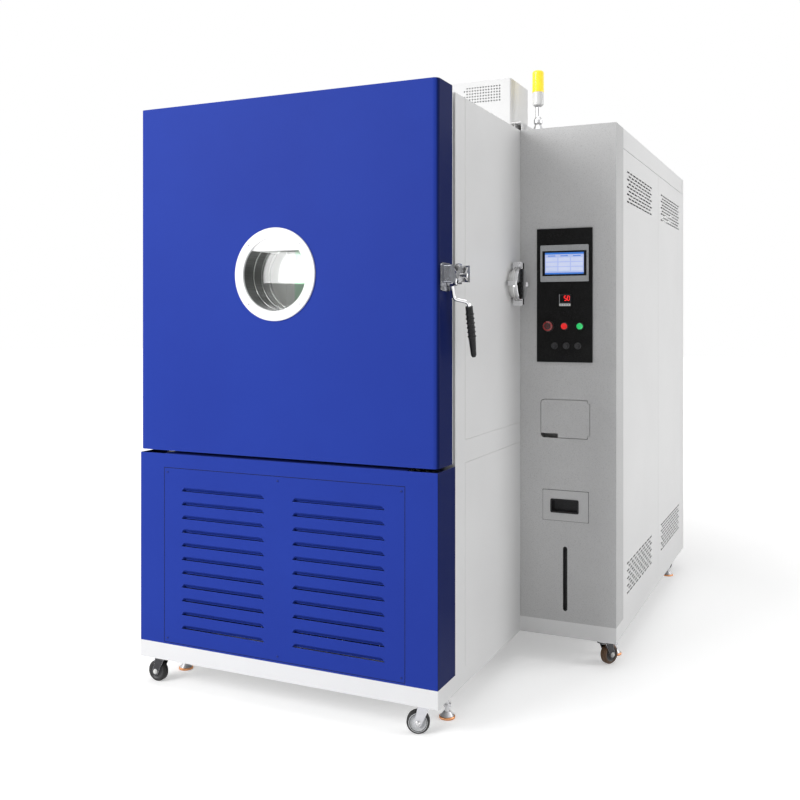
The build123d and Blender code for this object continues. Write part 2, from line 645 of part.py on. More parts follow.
# Air baffle before the plenum: a sheet with outlet slots above and return slots below
AIR_SLOT_WIDTH = 70.0
AIR_SLOT_HEIGHT = 12.0
AIR_SLOT_PITCH_X = 110.0
AIR_SLOT_PITCH_Z = 32.0
with BuildPart() as air_baffle:
    with BuildSketch(front_plane(Y_BAFFLE)):
        panel_outline(X_MOUTH_LEFT, X_MOUTH_RIGHT, Z_FLOOR, Z_CEILING)
        for slot_z in (Z_FLOOR + 110.0, Z_CEILING - 110.0):
            with Locations((X_MIDDLE, slot_z)):
                with GridLocations(AIR_SLOT_PITCH_X, AIR_SLOT_PITCH_Z, 7, 3):
                    Rectangle(AIR_SLOT_WIDTH, AIR_SLOT_HEIGHT, mode=Mode.SUBTRACT)
    extrude(amount=-LINER_SHEET)
finish(air_baffle, "air_baffle")

# Cooling coil with its tubes and the heater loops, hung in the plenum
COIL_WIDTH = 760.0
COIL_HEIGHT = 260.0
COIL_DEPTH = 130.0
Z_COIL = Z_FLOOR + 330.0
with BuildPart() as conditioning_coils:
    block(
        X_MIDDLE - COIL_WIDTH / 2,
        X_MIDDLE + COIL_WIDTH / 2,
        Y_CHAMBER_BACK - COIL_DEPTH,
        Y_CHAMBER_BACK,
        Z_COIL,
        Z_COIL + COIL_HEIGHT,
    )
    with BuildSketch(side_plane(X_MIDDLE - COIL_WIDTH / 2 - 30.0)):
        with Locations((Y_CHAMBER_BACK - COIL_DEPTH / 2, Z_COIL + COIL_HEIGHT / 2)):
            with GridLocations(60.0, 84.0, 2, 3):
                Circle(8.0)
    extrude(amount=COIL_WIDTH + 60.0)
    for loop in range(3):
        with BuildSketch(front_plane(Y_CHAMBER_BACK)):
            with Locations((X_MIDDLE, Z_COIL + COIL_HEIGHT + 60.0 + 45.0 * loop)):
                Rectangle(COIL_WIDTH, 36.0)
                Rectangle(COIL_WIDTH - 24.0, 12.0, mode=Mode.SUBTRACT)
        extrude(amount=12.0)
finish(conditioning_coils, "conditioning_coils")

# Circulation fan: motor on the roof under the hood, shaft and impeller in the plenum
MOTOR_RADIUS = 74.0
MOTOR_HEIGHT = 150.0
MOTOR_FLANGE = 6.0
MOTOR_FLANGE_RADIUS = 96.0
IMPELLER_RADIUS = 96.0
IMPELLER_HEIGHT = 72.0
IMPELLER_BELOW_CEILING = 16.0
BLADE_COUNT = 14
BEARING_RADIUS = 14.0
Z_SHAFT_TOP = ROOF_HEIGHT + MOTOR_FLANGE
with BuildPart() as fan_motor:
    with BuildSketch(Plane.XY.offset(ROOF_HEIGHT)):
        with Locations((X_MIDDLE, Y_PLENUM)):
            Circle(MOTOR_FLANGE_RADIUS)
            Circle(MOTOR_SHAFT_RADIUS + PIN_CLEARANCE, mode=Mode.SUBTRACT)
    extrude(amount=MOTOR_FLANGE)
    with BuildSketch(Plane.XY.offset(Z_SHAFT_TOP + SEAT_GAP)):
        with Locations((X_MIDDLE, Y_PLENUM)):
            Circle(MOTOR_RADIUS)
    extrude(amount=MOTOR_HEIGHT)
    with BuildSketch(Plane.XY.offset(Z_SHAFT_TOP)):
        with Locations((X_MIDDLE, Y_PLENUM)):
            Circle(MOTOR_RADIUS)
            Circle(BEARING_RADIUS, mode=Mode.SUBTRACT)
    extrude(amount=SEAT_GAP)
finish(fan_motor, "fan_motor")

with BuildPart() as fan_impeller:
    impeller_top = Z_CEILING - IMPELLER_BELOW_CEILING
    with BuildSketch(Plane.XY.offset(impeller_top - IMPELLER_HEIGHT)):
        with Locations((X_MIDDLE, Y_PLENUM)):
            Circle(MOTOR_SHAFT_RADIUS)
    extrude(amount=Z_SHAFT_TOP - impeller_top + IMPELLER_HEIGHT)
    with BuildSketch(Plane.XY.offset(impeller_top)):
        with Locations((X_MIDDLE, Y_PLENUM)):
            Circle(IMPELLER_RADIUS)
    extrude(amount=-4.0)
    with BuildSketch(Plane.XY.offset(impeller_top - IMPELLER_HEIGHT)):
        with Locations((X_MIDDLE, Y_PLENUM)):
            Circle(IMPELLER_RADIUS)
            Circle(IMPELLER_RADIUS - 30.0, mode=Mode.SUBTRACT)
            Circle(22.0)
    extrude(amount=4.0)
    with BuildSketch(Plane.XY.offset(impeller_top - IMPELLER_HEIGHT + 4.0)):
        with Locations((X_MIDDLE, Y_PLENUM)):
            Circle(22.0)
            with PolarLocations(IMPELLER_RADIUS - 16.0, BLADE_COUNT):
                Rectangle(28.0, 3.0, rotation=32.0)
    extrude(amount=IMPELLER_HEIGHT - 8.0)
finish(fan_impeller, "fan_impeller")

# Side panels of the main cabinet, upper and lower, flush with the posts and rails
Z_UPPER = Z_RAIL_TOP + SEAM
Z_LOWER_TOP = Z_RAIL - SEAM
Y_PANEL_FRONT = Y_FRAME_BACK + SEAM
Y_PANEL_BACK = Y_REAR_POST - SEAM
with BuildPart() as side_panels:
    for wall in (X_LEFT, X_INNER - SHEET):
        with BuildSketch(side_plane(wall)):
            panel_outline(Y_PANEL_FRONT, Y_PANEL_BACK, Z_UPPER, Z_POST_TOP)
        extrude(amount=SHEET)
        with BuildSketch(side_plane(wall)):
            panel_outline(Y_PANEL_FRONT, Y_PANEL_BACK, Z_DECK, Z_LOWER_TOP)
        extrude(amount=SHEET)
    with BuildSketch(side_plane(X_INNER)):
        with Locations((Y_PORT, PORT_ABOVE_FLOOR)):
            Circle(PORT_HOLE_RADIUS)
    extrude(amount=-SHEET, mode=Mode.SUBTRACT)
finish(side_panels, "side_panels")

# Roof sheets: the main roof with the shaft hole, and the control cabinet's deep cap
with BuildPart() as roof_panels:
    block(X_LEFT, X_INNER, Y_FRAME, Y_REAR, ROOF_HEIGHT - SHEET, ROOF_HEIGHT)
    with Locations((X_MIDDLE, Y_PLENUM, ROOF_HEIGHT)):
        Cylinder(
            SHAFT_HOLE_RADIUS,
            SHEET,
            align=(Align.CENTER, Align.CENTER, Align.MAX),
            mode=Mode.SUBTRACT,
        )
    block(X_INNER + SEAT_GAP, X_RIGHT, Y_CONTROL_SIDE + SEAM, Y_REAR, Z_CAP, ROOF_HEIGHT)
    block(
        X_INNER + SEAT_GAP,
        X_RIGHT - SHEET,
        Y_CONTROL_SIDE + SEAM,
        Y_REAR - SHEET,
        Z_CAP,
        ROOF_HEIGHT - SHEET,
        Mode.SUBTRACT,
    )
    # Room for the rear corner post, which runs up into the cap
    block(
        X_RIGHT - POST_SIZE - LEDGE - SEAT_GAP,
        X_RIGHT,
        Y_REAR_POST - LEDGE - SEAT_GAP,
        Y_REAR,
        Z_CAP,
        ROOF_HEIGHT - SHEET,
        Mode.SUBTRACT,
    )
finish(roof_panels, "roof_panels")

# Motor hood with a perforated grid near the right end of its front
HOOD_FROM_FRONT = 870.0
HOOD_DEPTH = 232.0
HOOD_HEIGHT = 217.0
HOOD_INSET = 45.0
GRID_FROM_END = 41.0
GRID_WIDTH = 163.0
GRID_ABOVE_ROOF = 116.0
GRID_ROWS = 7
GRID_COLUMNS = 14
GRID_HOLE = 5.6
Y_HOOD = Y_FRONT + HOOD_FROM_FRONT
with BuildPart() as motor_hood:
    hood_left = X_LEFT + HOOD_INSET
    hood_right = X_INNER - HOOD_INSET
    with BuildSketch(Plane.XY.offset(ROOF_HEIGHT)):
        panel_outline(hood_left, hood_right, Y_HOOD, Y_HOOD + HOOD_DEPTH)
    extrude(amount=HOOD_HEIGHT)
    hood_corners = motor_hood.edges().filter_by(Axis.Z)
    fillet(hood_corners, radius=6.0)
    offset(amount=-SHEET, openings=motor_hood.faces().sort_by(Axis.Z)[0])
    grid_pitch = GRID_WIDTH / GRID_COLUMNS
    with BuildSketch(front_plane(Y_HOOD)):
        grid_x = hood_right - GRID_FROM_END - GRID_WIDTH / 2
        grid_z = ROOF_HEIGHT + GRID_ABOVE_ROOF + GRID_ROWS * grid_pitch / 2
        with Locations((grid_x, grid_z)):
            with GridLocations(grid_pitch, 2 * grid_pitch, GRID_COLUMNS, GRID_ROWS // 2):
                Rectangle(GRID_HOLE, GRID_HOLE, rotation=45.0)
        with Locations((grid_x + grid_pitch / 2, grid_z + grid_pitch)):
            with GridLocations(grid_pitch, 2 * grid_pitch, GRID_COLUMNS - 1, GRID_ROWS // 2):
                Rectangle(GRID_HOLE, GRID_HOLE, rotation=45.0)
    extrude(amount=-SHEET, mode=Mode.SUBTRACT)
finish(motor_hood, "motor_hood")

# Cable duct along the right edge of the main roof: a channel with an overhanging lid
DUCT_WIDTH = 30.0
DUCT_HEIGHT = 32.0
DUCT_LID_OVERHANG = 12.0
DUCT_LID = 4.0
Y_DUCT_BACK = Y_REAR - 240.0
with BuildPart() as cable_duct:
    with BuildSketch(front_plane(Y_HOOD)):
        with BuildLine():
            Polyline(
                (X_INNER - DUCT_WIDTH, ROOF_HEIGHT + DUCT_HEIGHT),
                (X_INNER - DUCT_WIDTH, ROOF_HEIGHT),
                (X_INNER, ROOF_HEIGHT),
                (X_INNER, ROOF_HEIGHT + DUCT_HEIGHT),
                (X_INNER - SHEET, ROOF_HEIGHT + DUCT_HEIGHT),
                (X_INNER - SHEET, ROOF_HEIGHT + SHEET),
                (X_INNER - DUCT_WIDTH + SHEET, ROOF_HEIGHT + SHEET),
                (X_INNER - DUCT_WIDTH + SHEET, ROOF_HEIGHT + DUCT_HEIGHT),
                close=True,
            )
        make_face()
    extrude(amount=-(Y_DUCT_BACK - Y_HOOD))
    block(
        X_INNER - DUCT_WIDTH - DUCT_LID_OVERHANG,
        X_INNER,
        Y_HOOD - DUCT_LID_OVERHANG,
        Y_DUCT_BACK,
        ROOF_HEIGHT + DUCT_HEIGHT,
        ROOF_HEIGHT + DUCT_HEIGHT + DUCT_LID,
    )
finish(cable_duct, "cable_duct")

# Lower housing: two folded side columns welded to a top rail and a bottom rail
PANEL_FROM_LEFT = 109.0
PANEL_FROM_RIGHT = 115.0
PANEL_ABOVE_DECK = 8.0
PANEL_BELOW_TOP = 51.0
HOUSING_DEPTH = Y_FRAME - Y_FRONT
COLUMN_RETURN = 28.0
X_PANEL_LEFT = X_LEFT + PANEL_FROM_LEFT
X_PANEL_RIGHT = X_INNER - PANEL_FROM_RIGHT
Z_PANEL_BOTTOM = Z_DECK + PANEL_ABOVE_DECK
Z_PANEL_TOP = Z_HOUSING_TOP - PANEL_BELOW_TOP


def housing_column(x_outer, x_seam):
    """A folded column: front, side and a return flange, with a ledge for the louvre panel."""
    inward = 1 if x_seam > x_outer else -1
    with BuildSketch(Plane.XY.offset(Z_DECK)) as section:
        with BuildLine():
            Polyline(
                (x_outer, Y_FRAME),
                (x_outer, Y_FRONT),
                (x_seam, Y_FRONT),
                (x_seam, Y_FRONT + SHEET),
                (x_seam + inward * LEDGE, Y_FRONT + SHEET),
                (x_seam + inward * LEDGE, Y_FRONT + 2 * SHEET),
                (x_seam, Y_FRONT + 2 * SHEET),
                (x_seam, Y_FRONT + COLUMN_RETURN),
                (x_seam - inward * SHEET, Y_FRONT + COLUMN_RETURN),
                (x_seam - inward * SHEET, Y_FRONT + SHEET),
                (x_outer + inward * SHEET, Y_FRONT + SHEET),
                (x_outer + inward * SHEET, Y_FRAME),
                close=True,
            )
        make_face()
        corner = section.vertices().sort_by_distance((x_outer, Y_FRONT, Z_DECK))[0]
        fillet(corner, radius=SHEET * 0.9)
    extrude(section.sketch, amount=HOUSING_HEIGHT)


RAIL_RETURN = 20.0
with BuildPart() as lower_housing:
    housing_column(X_LEFT, X_PANEL_LEFT - SEAM)
    housing_column(X_INNER, X_PANEL_RIGHT + SEAM)
    with BuildSketch(side_plane(X_PANEL_LEFT - SEAM)):
        with BuildLine():
            Polyline(
                (Y_FRONT, Z_PANEL_TOP + SEAM),
                (Y_FRONT, Z_HOUSING_TOP),
                (Y_FRAME, Z_HOUSING_TOP),
                (Y_FRAME, Z_HOUSING_TOP - SHEET),
                (Y_FRONT + SHEET, Z_HOUSING_TOP - SHEET),
                (Y_FRONT + SHEET, Z_PANEL_TOP + SEAM),
                close=True,
            )
        make_face()
    extrude(amount=X_PANEL_RIGHT - X_PANEL_LEFT + 2 * SEAM)
    with BuildSketch(side_plane(X_PANEL_LEFT - SEAM)):
        with BuildLine():
            Polyline(
                (Y_FRONT, Z_DECK),
                (Y_FRONT, Z_PANEL_BOTTOM - SEAM),
                (Y_FRONT + SHEET, Z_PANEL_BOTTOM - SEAM),
                (Y_FRONT + SHEET, Z_DECK + SHEET),
                (Y_FRONT + RAIL_RETURN, Z_DECK + SHEET),
                (Y_FRONT + RAIL_RETURN, Z_DECK),
                close=True,
            )
        make_face()
    extrude(amount=X_PANEL_RIGHT - X_PANEL_LEFT + 2 * SEAM)
finish(lower_housing, "lower_housing")

# One louvre: a hood pressed inwards above a straight slit, open downwards
LOUVRE_LENGTH = 353.0
LOUVRE_HEIGHT = 16.0
LOUVRE_DEPTH = 13.0
LOUVRE_PITCH = 49.3
LOUVRE_ROWS = 11
LOUVRE_END = 11.0
LOUVRE_COLUMN_PITCH = 461.0
LOUVRE_FROM_PANEL_TOP = 65.0
LOUVRE_FROM_PANEL_LEFT = 250.0
LOUVRE_BEND = 4.0


def louvre_hood(inset, depth):
    """The pressed form about the middle of its slit: Y goes into the cabinet."""
    half = LOUVRE_LENGTH / 2 - inset
    with BuildPart() as form:
        with BuildSketch(Plane.XZ) as mouth:
            with BuildLine():
                Polyline(
                    (-half, 0),
                    (half, 0),
                    (half - LOUVRE_END, LOUVRE_HEIGHT - inset),
                    (-half + LOUVRE_END, LOUVRE_HEIGHT - inset),
                    close=True,
                )
            make_face()
            upper = mouth.vertices().sort_by(Axis.Y)[2:]
            chamfer(upper, length=LOUVRE_BEND)
        with BuildSketch(Plane.XZ.offset(-depth)) as back:
            with BuildLine():
                Polyline(
                    (-half + LOUVRE_END, 0),
                    (half - LOUVRE_END, 0),
                    (half - LOUVRE_END - 1.0, 3.0),
                    (-half + LOUVRE_END + 1.0, 3.0),
                    close=True,
                )
            make_face()
            upper = back.vertices().sort_by(Axis.Y)[2:]
            chamfer(upper, length=1.0)
        loft(ruled=True)
    return form.part


hood_outer = louvre_hood(0.0, LOUVRE_DEPTH)
hood_inner = louvre_hood(LINER_SHEET, LOUVRE_DEPTH - LINER_SHEET)
X_LOUVRES = X_PANEL_LEFT + LOUVRE_FROM_PANEL_LEFT + LOUVRE_COLUMN_PITCH / 2
Z_LOUVRES = Z_PANEL_TOP - LOUVRE_FROM_PANEL_TOP - LOUVRE_HEIGHT - (LOUVRE_ROWS - 1) * LOUVRE_PITCH / 2
LOUVRE_GRID = GridLocations(LOUVRE_COLUMN_PITCH, LOUVRE_PITCH, 2, LOUVRE_ROWS)
LOUVRE_PLACES = [
    Location((X_LOUVRES + place.position.X, Y_FRONT, Z_LOUVRES + place.position.Y))
    for place in LOUVRE_GRID
]
with BuildPart() as louvre_panel:
    with BuildSketch(front_plane(Y_FRONT)):
        panel_outline(X_PANEL_LEFT, X_PANEL_RIGHT, Z_PANEL_BOTTOM, Z_PANEL_TOP, 2.0)
    extrude(amount=-SHEET)
    add([hood_outer.moved(place) for place in LOUVRE_PLACES])
    add([hood_inner.moved(place) for place in LOUVRE_PLACES], mode=Mode.SUBTRACT)
finish(louvre_panel, "louvre_panel")

# Refrigeration unit on the deck behind the louvres: condenser, shroud and two compressors
CONDENSER_FROM_FRONT = 250.0
CONDENSER_DEPTH = 90.0
CONDENSER_MARGIN = 150.0
CONDENSER_HEIGHT = 520.0
CONDENSER_FRAME = 4.0
CONDENSER_FINS = 24
CONDENSER_FAN_RADIUS = 180.0
COMPRESSOR_RADIUS = 105.0
COMPRESSOR_HEIGHT = 340.0
COMPRESSOR_DOME = 60.0
FAN_AXLE_RADIUS = 6.0
FAN_STANDOFF = 60.0
Y_CONDENSER = Y_FRONT + CONDENSER_FROM_FRONT
Y_CONDENSER_BACK = Y_CONDENSER + CONDENSER_DEPTH
Z_CONDENSER_FAN = Z_DECK + CONDENSER_HEIGHT / 2
Y_FAN_BRACKET = Y_CONDENSER_BACK + FAN_STANDOFF
with BuildPart() as refrigeration_unit:
    with BuildSketch(front_plane(Y_CONDENSER)):
        condenser_width = X_INNER - X_LEFT - 2 * CONDENSER_MARGIN
        with Locations((X_MIDDLE, Z_CONDENSER_FAN)):
            Rectangle(condenser_width, CONDENSER_HEIGHT)
            Rectangle(
                condenser_width - 2 * CONDENSER_FRAME, CONDENSER_HEIGHT - 2 * CONDENSER_FRAME, mode=Mode.SUBTRACT
            )
            with GridLocations(condenser_width / (CONDENSER_FINS + 1), 0, CONDENSER_FINS, 1):
                Rectangle(SHEET, CONDENSER_HEIGHT)
    extrude(amount=-CONDENSER_DEPTH)
    # Fan bracket: two legs, a bar and the axle stub that carries the fan
    for leg in (-1, 1):
        leg_x = X_MIDDLE + leg * (CONDENSER_FAN_RADIUS + 30.0)
        block(leg_x - 10, leg_x + 10, Y_CONDENSER_BACK, Y_FAN_BRACKET + 12, Z_DECK, Z_CONDENSER_FAN + 20)
    block(
        X_MIDDLE - CONDENSER_FAN_RADIUS - 40,
        X_MIDDLE + CONDENSER_FAN_RADIUS + 40,
        Y_FAN_BRACKET,
        Y_FAN_BRACKET + 12,
        Z_CONDENSER_FAN - 20,
        Z_CONDENSER_FAN + 20,
    )
    with BuildSketch(front_plane(Y_FAN_BRACKET)):
        with Locations((X_MIDDLE, Z_CONDENSER_FAN)):
            Circle(FAN_AXLE_RADIUS)
    extrude(amount=FAN_STANDOFF - 12.0)
    for side in (-1, 1):
        compressor_x = X_MIDDLE + side * (COMPRESSOR_RADIUS + 70.0)
        compressor_y = Y_FAN_BRACKET + COMPRESSOR_RADIUS + 80.0
        with BuildSketch(Plane.XZ.offset(-compressor_y)):
            with BuildLine():
                Polyline(
                    (compressor_x, Z_DECK),
                    (compressor_x + COMPRESSOR_RADIUS + 15.0, Z_DECK),
                    (compressor_x + COMPRESSOR_RADIUS + 15.0, Z_DECK + 12.0),
                    (compressor_x + COMPRESSOR_RADIUS, Z_DECK + 12.0),
                    (compressor_x + COMPRESSOR_RADIUS, Z_DECK + COMPRESSOR_HEIGHT - COMPRESSOR_DOME),
                    (compressor_x + 0.75 * COMPRESSOR_RADIUS, Z_DECK + COMPRESSOR_HEIGHT - 15.0),
                    (compressor_x + 0.35 * COMPRESSOR_RADIUS, Z_DECK + COMPRESSOR_HEIGHT),
                    (compressor_x, Z_DECK + COMPRESSOR_HEIGHT),
                )
                Line((compressor_x, Z_DECK + COMPRESSOR_HEIGHT), (compressor_x, Z_DECK))
            make_face()
        revolve(axis=Axis((compressor_x, compressor_y, 0), (0, 0, 1)))
finish(refrigeration_unit, "refrigeration_unit")

with BuildPart() as condenser_fan:
    with BuildSketch(front_plane(Y_FAN_BRACKET - 2.0)):
        with Locations((X_MIDDLE, Z_CONDENSER_FAN)):
            Circle(40.0)
            Circle(FAN_AXLE_RADIUS + PIN_CLEARANCE, mode=Mode.SUBTRACT)
    extrude(amount=30.0)
    blade_y = Y_FAN_BRACKET - 17.0
    for blade in range(5):
        blade_plane = Plane(
            origin=(X_MIDDLE, blade_y, Z_CONDENSER_FAN),
            x_dir=Vector(0, 1, 0),
            z_dir=Vector(0, 0, 1).rotate(Axis.Y, 72.0 * blade),
        )
        with BuildSketch(blade_plane.offset(38.0)):
            Rectangle(4.0, 60.0, rotation=28.0)
        extrude(amount=CONDENSER_FAN_RADIUS - 40.0)
    with BuildSketch(front_plane(Y_FAN_BRACKET - 2.0)):
        with Locations((X_MIDDLE, Z_CONDENSER_FAN)):
            Circle(FAN_AXLE_RADIUS + PIN_CLEARANCE)
    extrude(amount=30.0, mode=Mode.SUBTRACT)
finish(condenser_fan, "condenser_fan")

# Control cabinet front: places on its face, from its left wall and from the floor
OPERATOR_LEFT = 70.0
OPERATOR_RIGHT = 290.0
OPERATOR_BOTTOM = 1174.0
OPERATOR_TOP = 1694.0
OPERATOR_THICKNESS = 4.0
SCREEN_CENTRE = 181.0
SCREEN_HEIGHT_UP = 1558.0
SCREEN_WIDTH = 190.0
SCREEN_HEIGHT = 142.0
SCREEN_PROUD = 6.0
SCREEN_BODY_WIDTH = 174.0
SCREEN_BODY_HEIGHT = 126.0
SCREEN_BODY_DEPTH = 42.0
SCREEN_RECESS_WIDTH = 175.0
SCREEN_RECESS_HEIGHT = 98.0
SCREEN_RECESS = 1.5
LIMITER_CENTRE = 184.5
LIMITER_UP = 1414.5
LIMITER_SIZE = 48.0
LIMITER_BODY = 44.0
LIMITER_DEPTH = 62.0
LIMITER_PROUD = 8.0
BUTTON_UP = 1314.0
ESTOP_CENTRE = 119.0
POWER_CENTRE = 182.0
START_CENTRE = 243.0
BUTTON_STEM_RADIUS = 8.0
BUTTON_HOLE_RADIUS = 11.0
BUTTON_COLLAR_RADIUS = 15.0
BUTTON_COLLAR = 5.0
BUTTON_CAP_RADIUS = 12.0
BUTTON_CAP = 9.0
BUTTON_TRAVEL = 4.0
BUTTON_STEM_LENGTH = 34.0
ESTOP_RADIUS = 19.0
ESTOP_CAP = 14.0
ESTOP_TRAVEL = 5.0
SOCKET_UP = 1238.0
SOCKET_RADIUS = 12.0
SOCKET_PROUD = 5.0
SOCKET_CENTRES = (141.0, 187.0, 233.0)
FLAP_LEFT = 86.0
FLAP_RIGHT = 278.0
FLAP_BOTTOM = 880.0
FLAP_TOP = 1027.0
FLAP_RADIUS = 14.0
NOTCH_WIDTH = 67.0
NOTCH_HEIGHT = 16.0
DRAWER_LEFT = 94.0
DRAWER_RIGHT = 273.0
DRAWER_BOTTOM = 558.0
DRAWER_TOP = 675.0
PULL_LEFT = 128.0
PULL_RIGHT = 232.0
PULL_BOTTOM = 592.0
PULL_TOP = 638.0
PULL_DEPTH = 22.0
PULL_WALL = 2.0
PULL_LIP = 4.0
GAUGE_CENTRE = 182.0
GAUGE_WIDTH = 17.0
GAUGE_BOTTOM = 208.0
GAUGE_TOP = 458.0
GAUGE_DEPTH = 14.0
DRAWER_OVERLAP = 5.0
Y_BOARD = Y_CONTROL - OPERATOR_THICKNESS
SLEEVE_GAP = 1.0
DRAWER_DEPTH = 340.0
DRAWER_SIDE = 3.0
DRAWER_TRAVEL = 250.0
POCKET_DEPTH = 60.0


def on_front(x):
    """The X of a place given from the control cabinet's left wall."""
    return X_INNER + x


def round_holes(radius, mode=Mode.SUBTRACT):
    """The round holes for the three buttons."""
    with Locations([(on_front(x), BUTTON_UP) for x in (ESTOP_CENTRE, POWER_CENTRE, START_CENTRE)]):
        Circle(radius, mode=mode)


def body_cutouts():
    """The square cut-outs behind the touchscreen and the limit controller, and the button holes."""
    with Locations((on_front(SCREEN_CENTRE), SCREEN_HEIGHT_UP)):
        Rectangle(
            SCREEN_BODY_WIDTH + 2 * SEAT_GAP,
            SCREEN_BODY_HEIGHT + 2 * SEAT_GAP,
            mode=Mode.SUBTRACT,
        )
    with Locations((on_front(LIMITER_CENTRE), LIMITER_UP)):
        Rectangle(LIMITER_BODY + 2 * SEAT_GAP, LIMITER_BODY + 2 * SEAT_GAP, mode=Mode.SUBTRACT)
    round_holes(BUTTON_HOLE_RADIUS)


# The flap's corners at its hinge are left to the front, so that they cover the lugs
LUG_HEIGHT = 6.0
LUG_INSET = 6.0
LUG_NOTCH = 9.0
BARREL_INSET = LUG_INSET + LUG_HEIGHT + SEAT_GAP


def lug_corners(clearance):
    """Takes the two hinge corners off the flap's outline, or off the hole round it."""
    corner_left = on_front(FLAP_RIGHT) - LUG_NOTCH + clearance
    corner_right = on_front(FLAP_RIGHT) + SEAM
    corner_height = BARREL_INSET - clearance
    for corner_bottom in (FLAP_BOTTOM - SEAM, FLAP_TOP - corner_height):
        panel_outline(
            corner_left,
            corner_right,
            corner_bottom,
            corner_bottom + corner_height + SEAM,
            mode=Mode.SUBTRACT,
        )


SLEEVE_LEFT = DRAWER_LEFT + DRAWER_OVERLAP
SLEEVE_RIGHT = DRAWER_RIGHT - DRAWER_OVERLAP
SLEEVE_BOTTOM = DRAWER_BOTTOM + DRAWER_OVERLAP
SLEEVE_TOP = DRAWER_TOP - DRAWER_OVERLAP
with BuildPart() as control_front:
    with BuildSketch(front_plane(Y_CONTROL)):
        panel_outline(X_INNER + SEAT_GAP, X_RIGHT, Z_DECK, ROOF_HEIGHT)
    extrude(amount=-CONTROL_FRONT_DEPTH)
    with BuildSketch(front_plane(Y_CONTROL + SHEET)):
        panel_outline(
            X_INNER + SEAT_GAP + SHEET, X_RIGHT - SHEET, Z_DECK + SHEET, ROOF_HEIGHT - SHEET
        )
    extrude(amount=SHEET - CONTROL_FRONT_DEPTH, mode=Mode.SUBTRACT)
    with BuildSketch(front_plane(Y_CONTROL)) as front_openings:
        with Locations((on_front(SCREEN_CENTRE), SCREEN_HEIGHT_UP)):
            Rectangle(SCREEN_BODY_WIDTH + 2 * SEAT_GAP, SCREEN_BODY_HEIGHT + 2 * SEAT_GAP)
        with Locations((on_front(LIMITER_CENTRE), LIMITER_UP)):
            Rectangle(LIMITER_BODY + 2 * SEAT_GAP, LIMITER_BODY + 2 * SEAT_GAP)
        round_holes(BUTTON_HOLE_RADIUS + SEAT_GAP, Mode.ADD)
        panel_outline(
            on_front(FLAP_LEFT - SEAM),
            on_front(FLAP_RIGHT + SEAM),
            FLAP_BOTTOM - SEAM,
            FLAP_TOP + SEAM,
            FLAP_RADIUS + SEAM,
        )
        lug_corners(SEAM)
        panel_outline(on_front(SLEEVE_LEFT), on_front(SLEEVE_RIGHT), SLEEVE_BOTTOM, SLEEVE_TOP)
        with Locations((on_front(GAUGE_CENTRE), (GAUGE_BOTTOM + GAUGE_TOP) / 2)):
            SlotOverall(GAUGE_TOP - GAUGE_BOTTOM + 2 * SEAT_GAP, GAUGE_WIDTH + 2 * SEAT_GAP, rotation=90.0)
    extrude(amount=-SHEET, mode=Mode.SUBTRACT)
finish(control_front, "control_front")

# Welded behind the front: the flap's pocket with its hinge lugs, and the drawer's sleeve
FLAP_BARREL = 3.0
FLAP_PIN = 1.2
FLAP_PIN_SETBACK = 3.8
LUG_SIZE = 10.0
POCKET_GAP = 3.0
POCKET_WALL = 1.5
X_FLAP_HINGE = on_front(FLAP_RIGHT) - FLAP_BARREL
Y_FLAP_HINGE = Y_CONTROL + FLAP_PIN_SETBACK
with BuildPart() as control_recesses:
    with BuildSketch(front_plane(Y_CONTROL + SHEET)):
        panel_outline(
            on_front(FLAP_LEFT - POCKET_GAP - POCKET_WALL),
            on_front(FLAP_RIGHT + POCKET_GAP + POCKET_WALL),
            FLAP_BOTTOM - POCKET_GAP - POCKET_WALL,
            FLAP_TOP + POCKET_GAP + POCKET_WALL,
        )
    extrude(amount=-POCKET_DEPTH)
    with BuildSketch(front_plane(Y_CONTROL + SHEET)):
        panel_outline(
            on_front(FLAP_LEFT - POCKET_GAP),
            on_front(FLAP_RIGHT + POCKET_GAP),
            FLAP_BOTTOM - POCKET_GAP,
            FLAP_TOP + POCKET_GAP,
        )
    extrude(amount=POCKET_WALL - POCKET_DEPTH, mode=Mode.SUBTRACT)
    # Lugs above and below the barrel, joined to the pocket's right wall
    for lug_z in (FLAP_BOTTOM + LUG_INSET, FLAP_TOP - LUG_INSET - LUG_HEIGHT):
        block(
            X_FLAP_HINGE - LUG_SIZE / 2,
            on_front(FLAP_RIGHT + POCKET_GAP),
            Y_CONTROL + SHEET + SEAT_GAP,
            Y_CONTROL + SHEET + LUG_SIZE,
            lug_z,
            lug_z + LUG_HEIGHT,
        )
        with Locations((X_FLAP_HINGE, Y_FLAP_HINGE, lug_z)):
            Cylinder(
                FLAP_PIN + PIN_CLEARANCE,
                LUG_HEIGHT,
                align=(Align.CENTER, Align.CENTER, Align.MIN),
                mode=Mode.SUBTRACT,
            )
    with BuildSketch(front_plane(Y_CONTROL + SHEET)):
        panel_outline(
            on_front(SLEEVE_LEFT) - POCKET_WALL,
            on_front(SLEEVE_RIGHT) + POCKET_WALL,
            SLEEVE_BOTTOM - POCKET_WALL,
            SLEEVE_TOP + POCKET_WALL,
        )
        panel_outline(
            on_front(SLEEVE_LEFT), on_front(SLEEVE_RIGHT), SLEEVE_BOTTOM, SLEEVE_TOP, mode=Mode.SUBTRACT
        )
    extrude(amount=-(DRAWER_DEPTH + 10.0))
finish(control_recesses, "control_recesses")

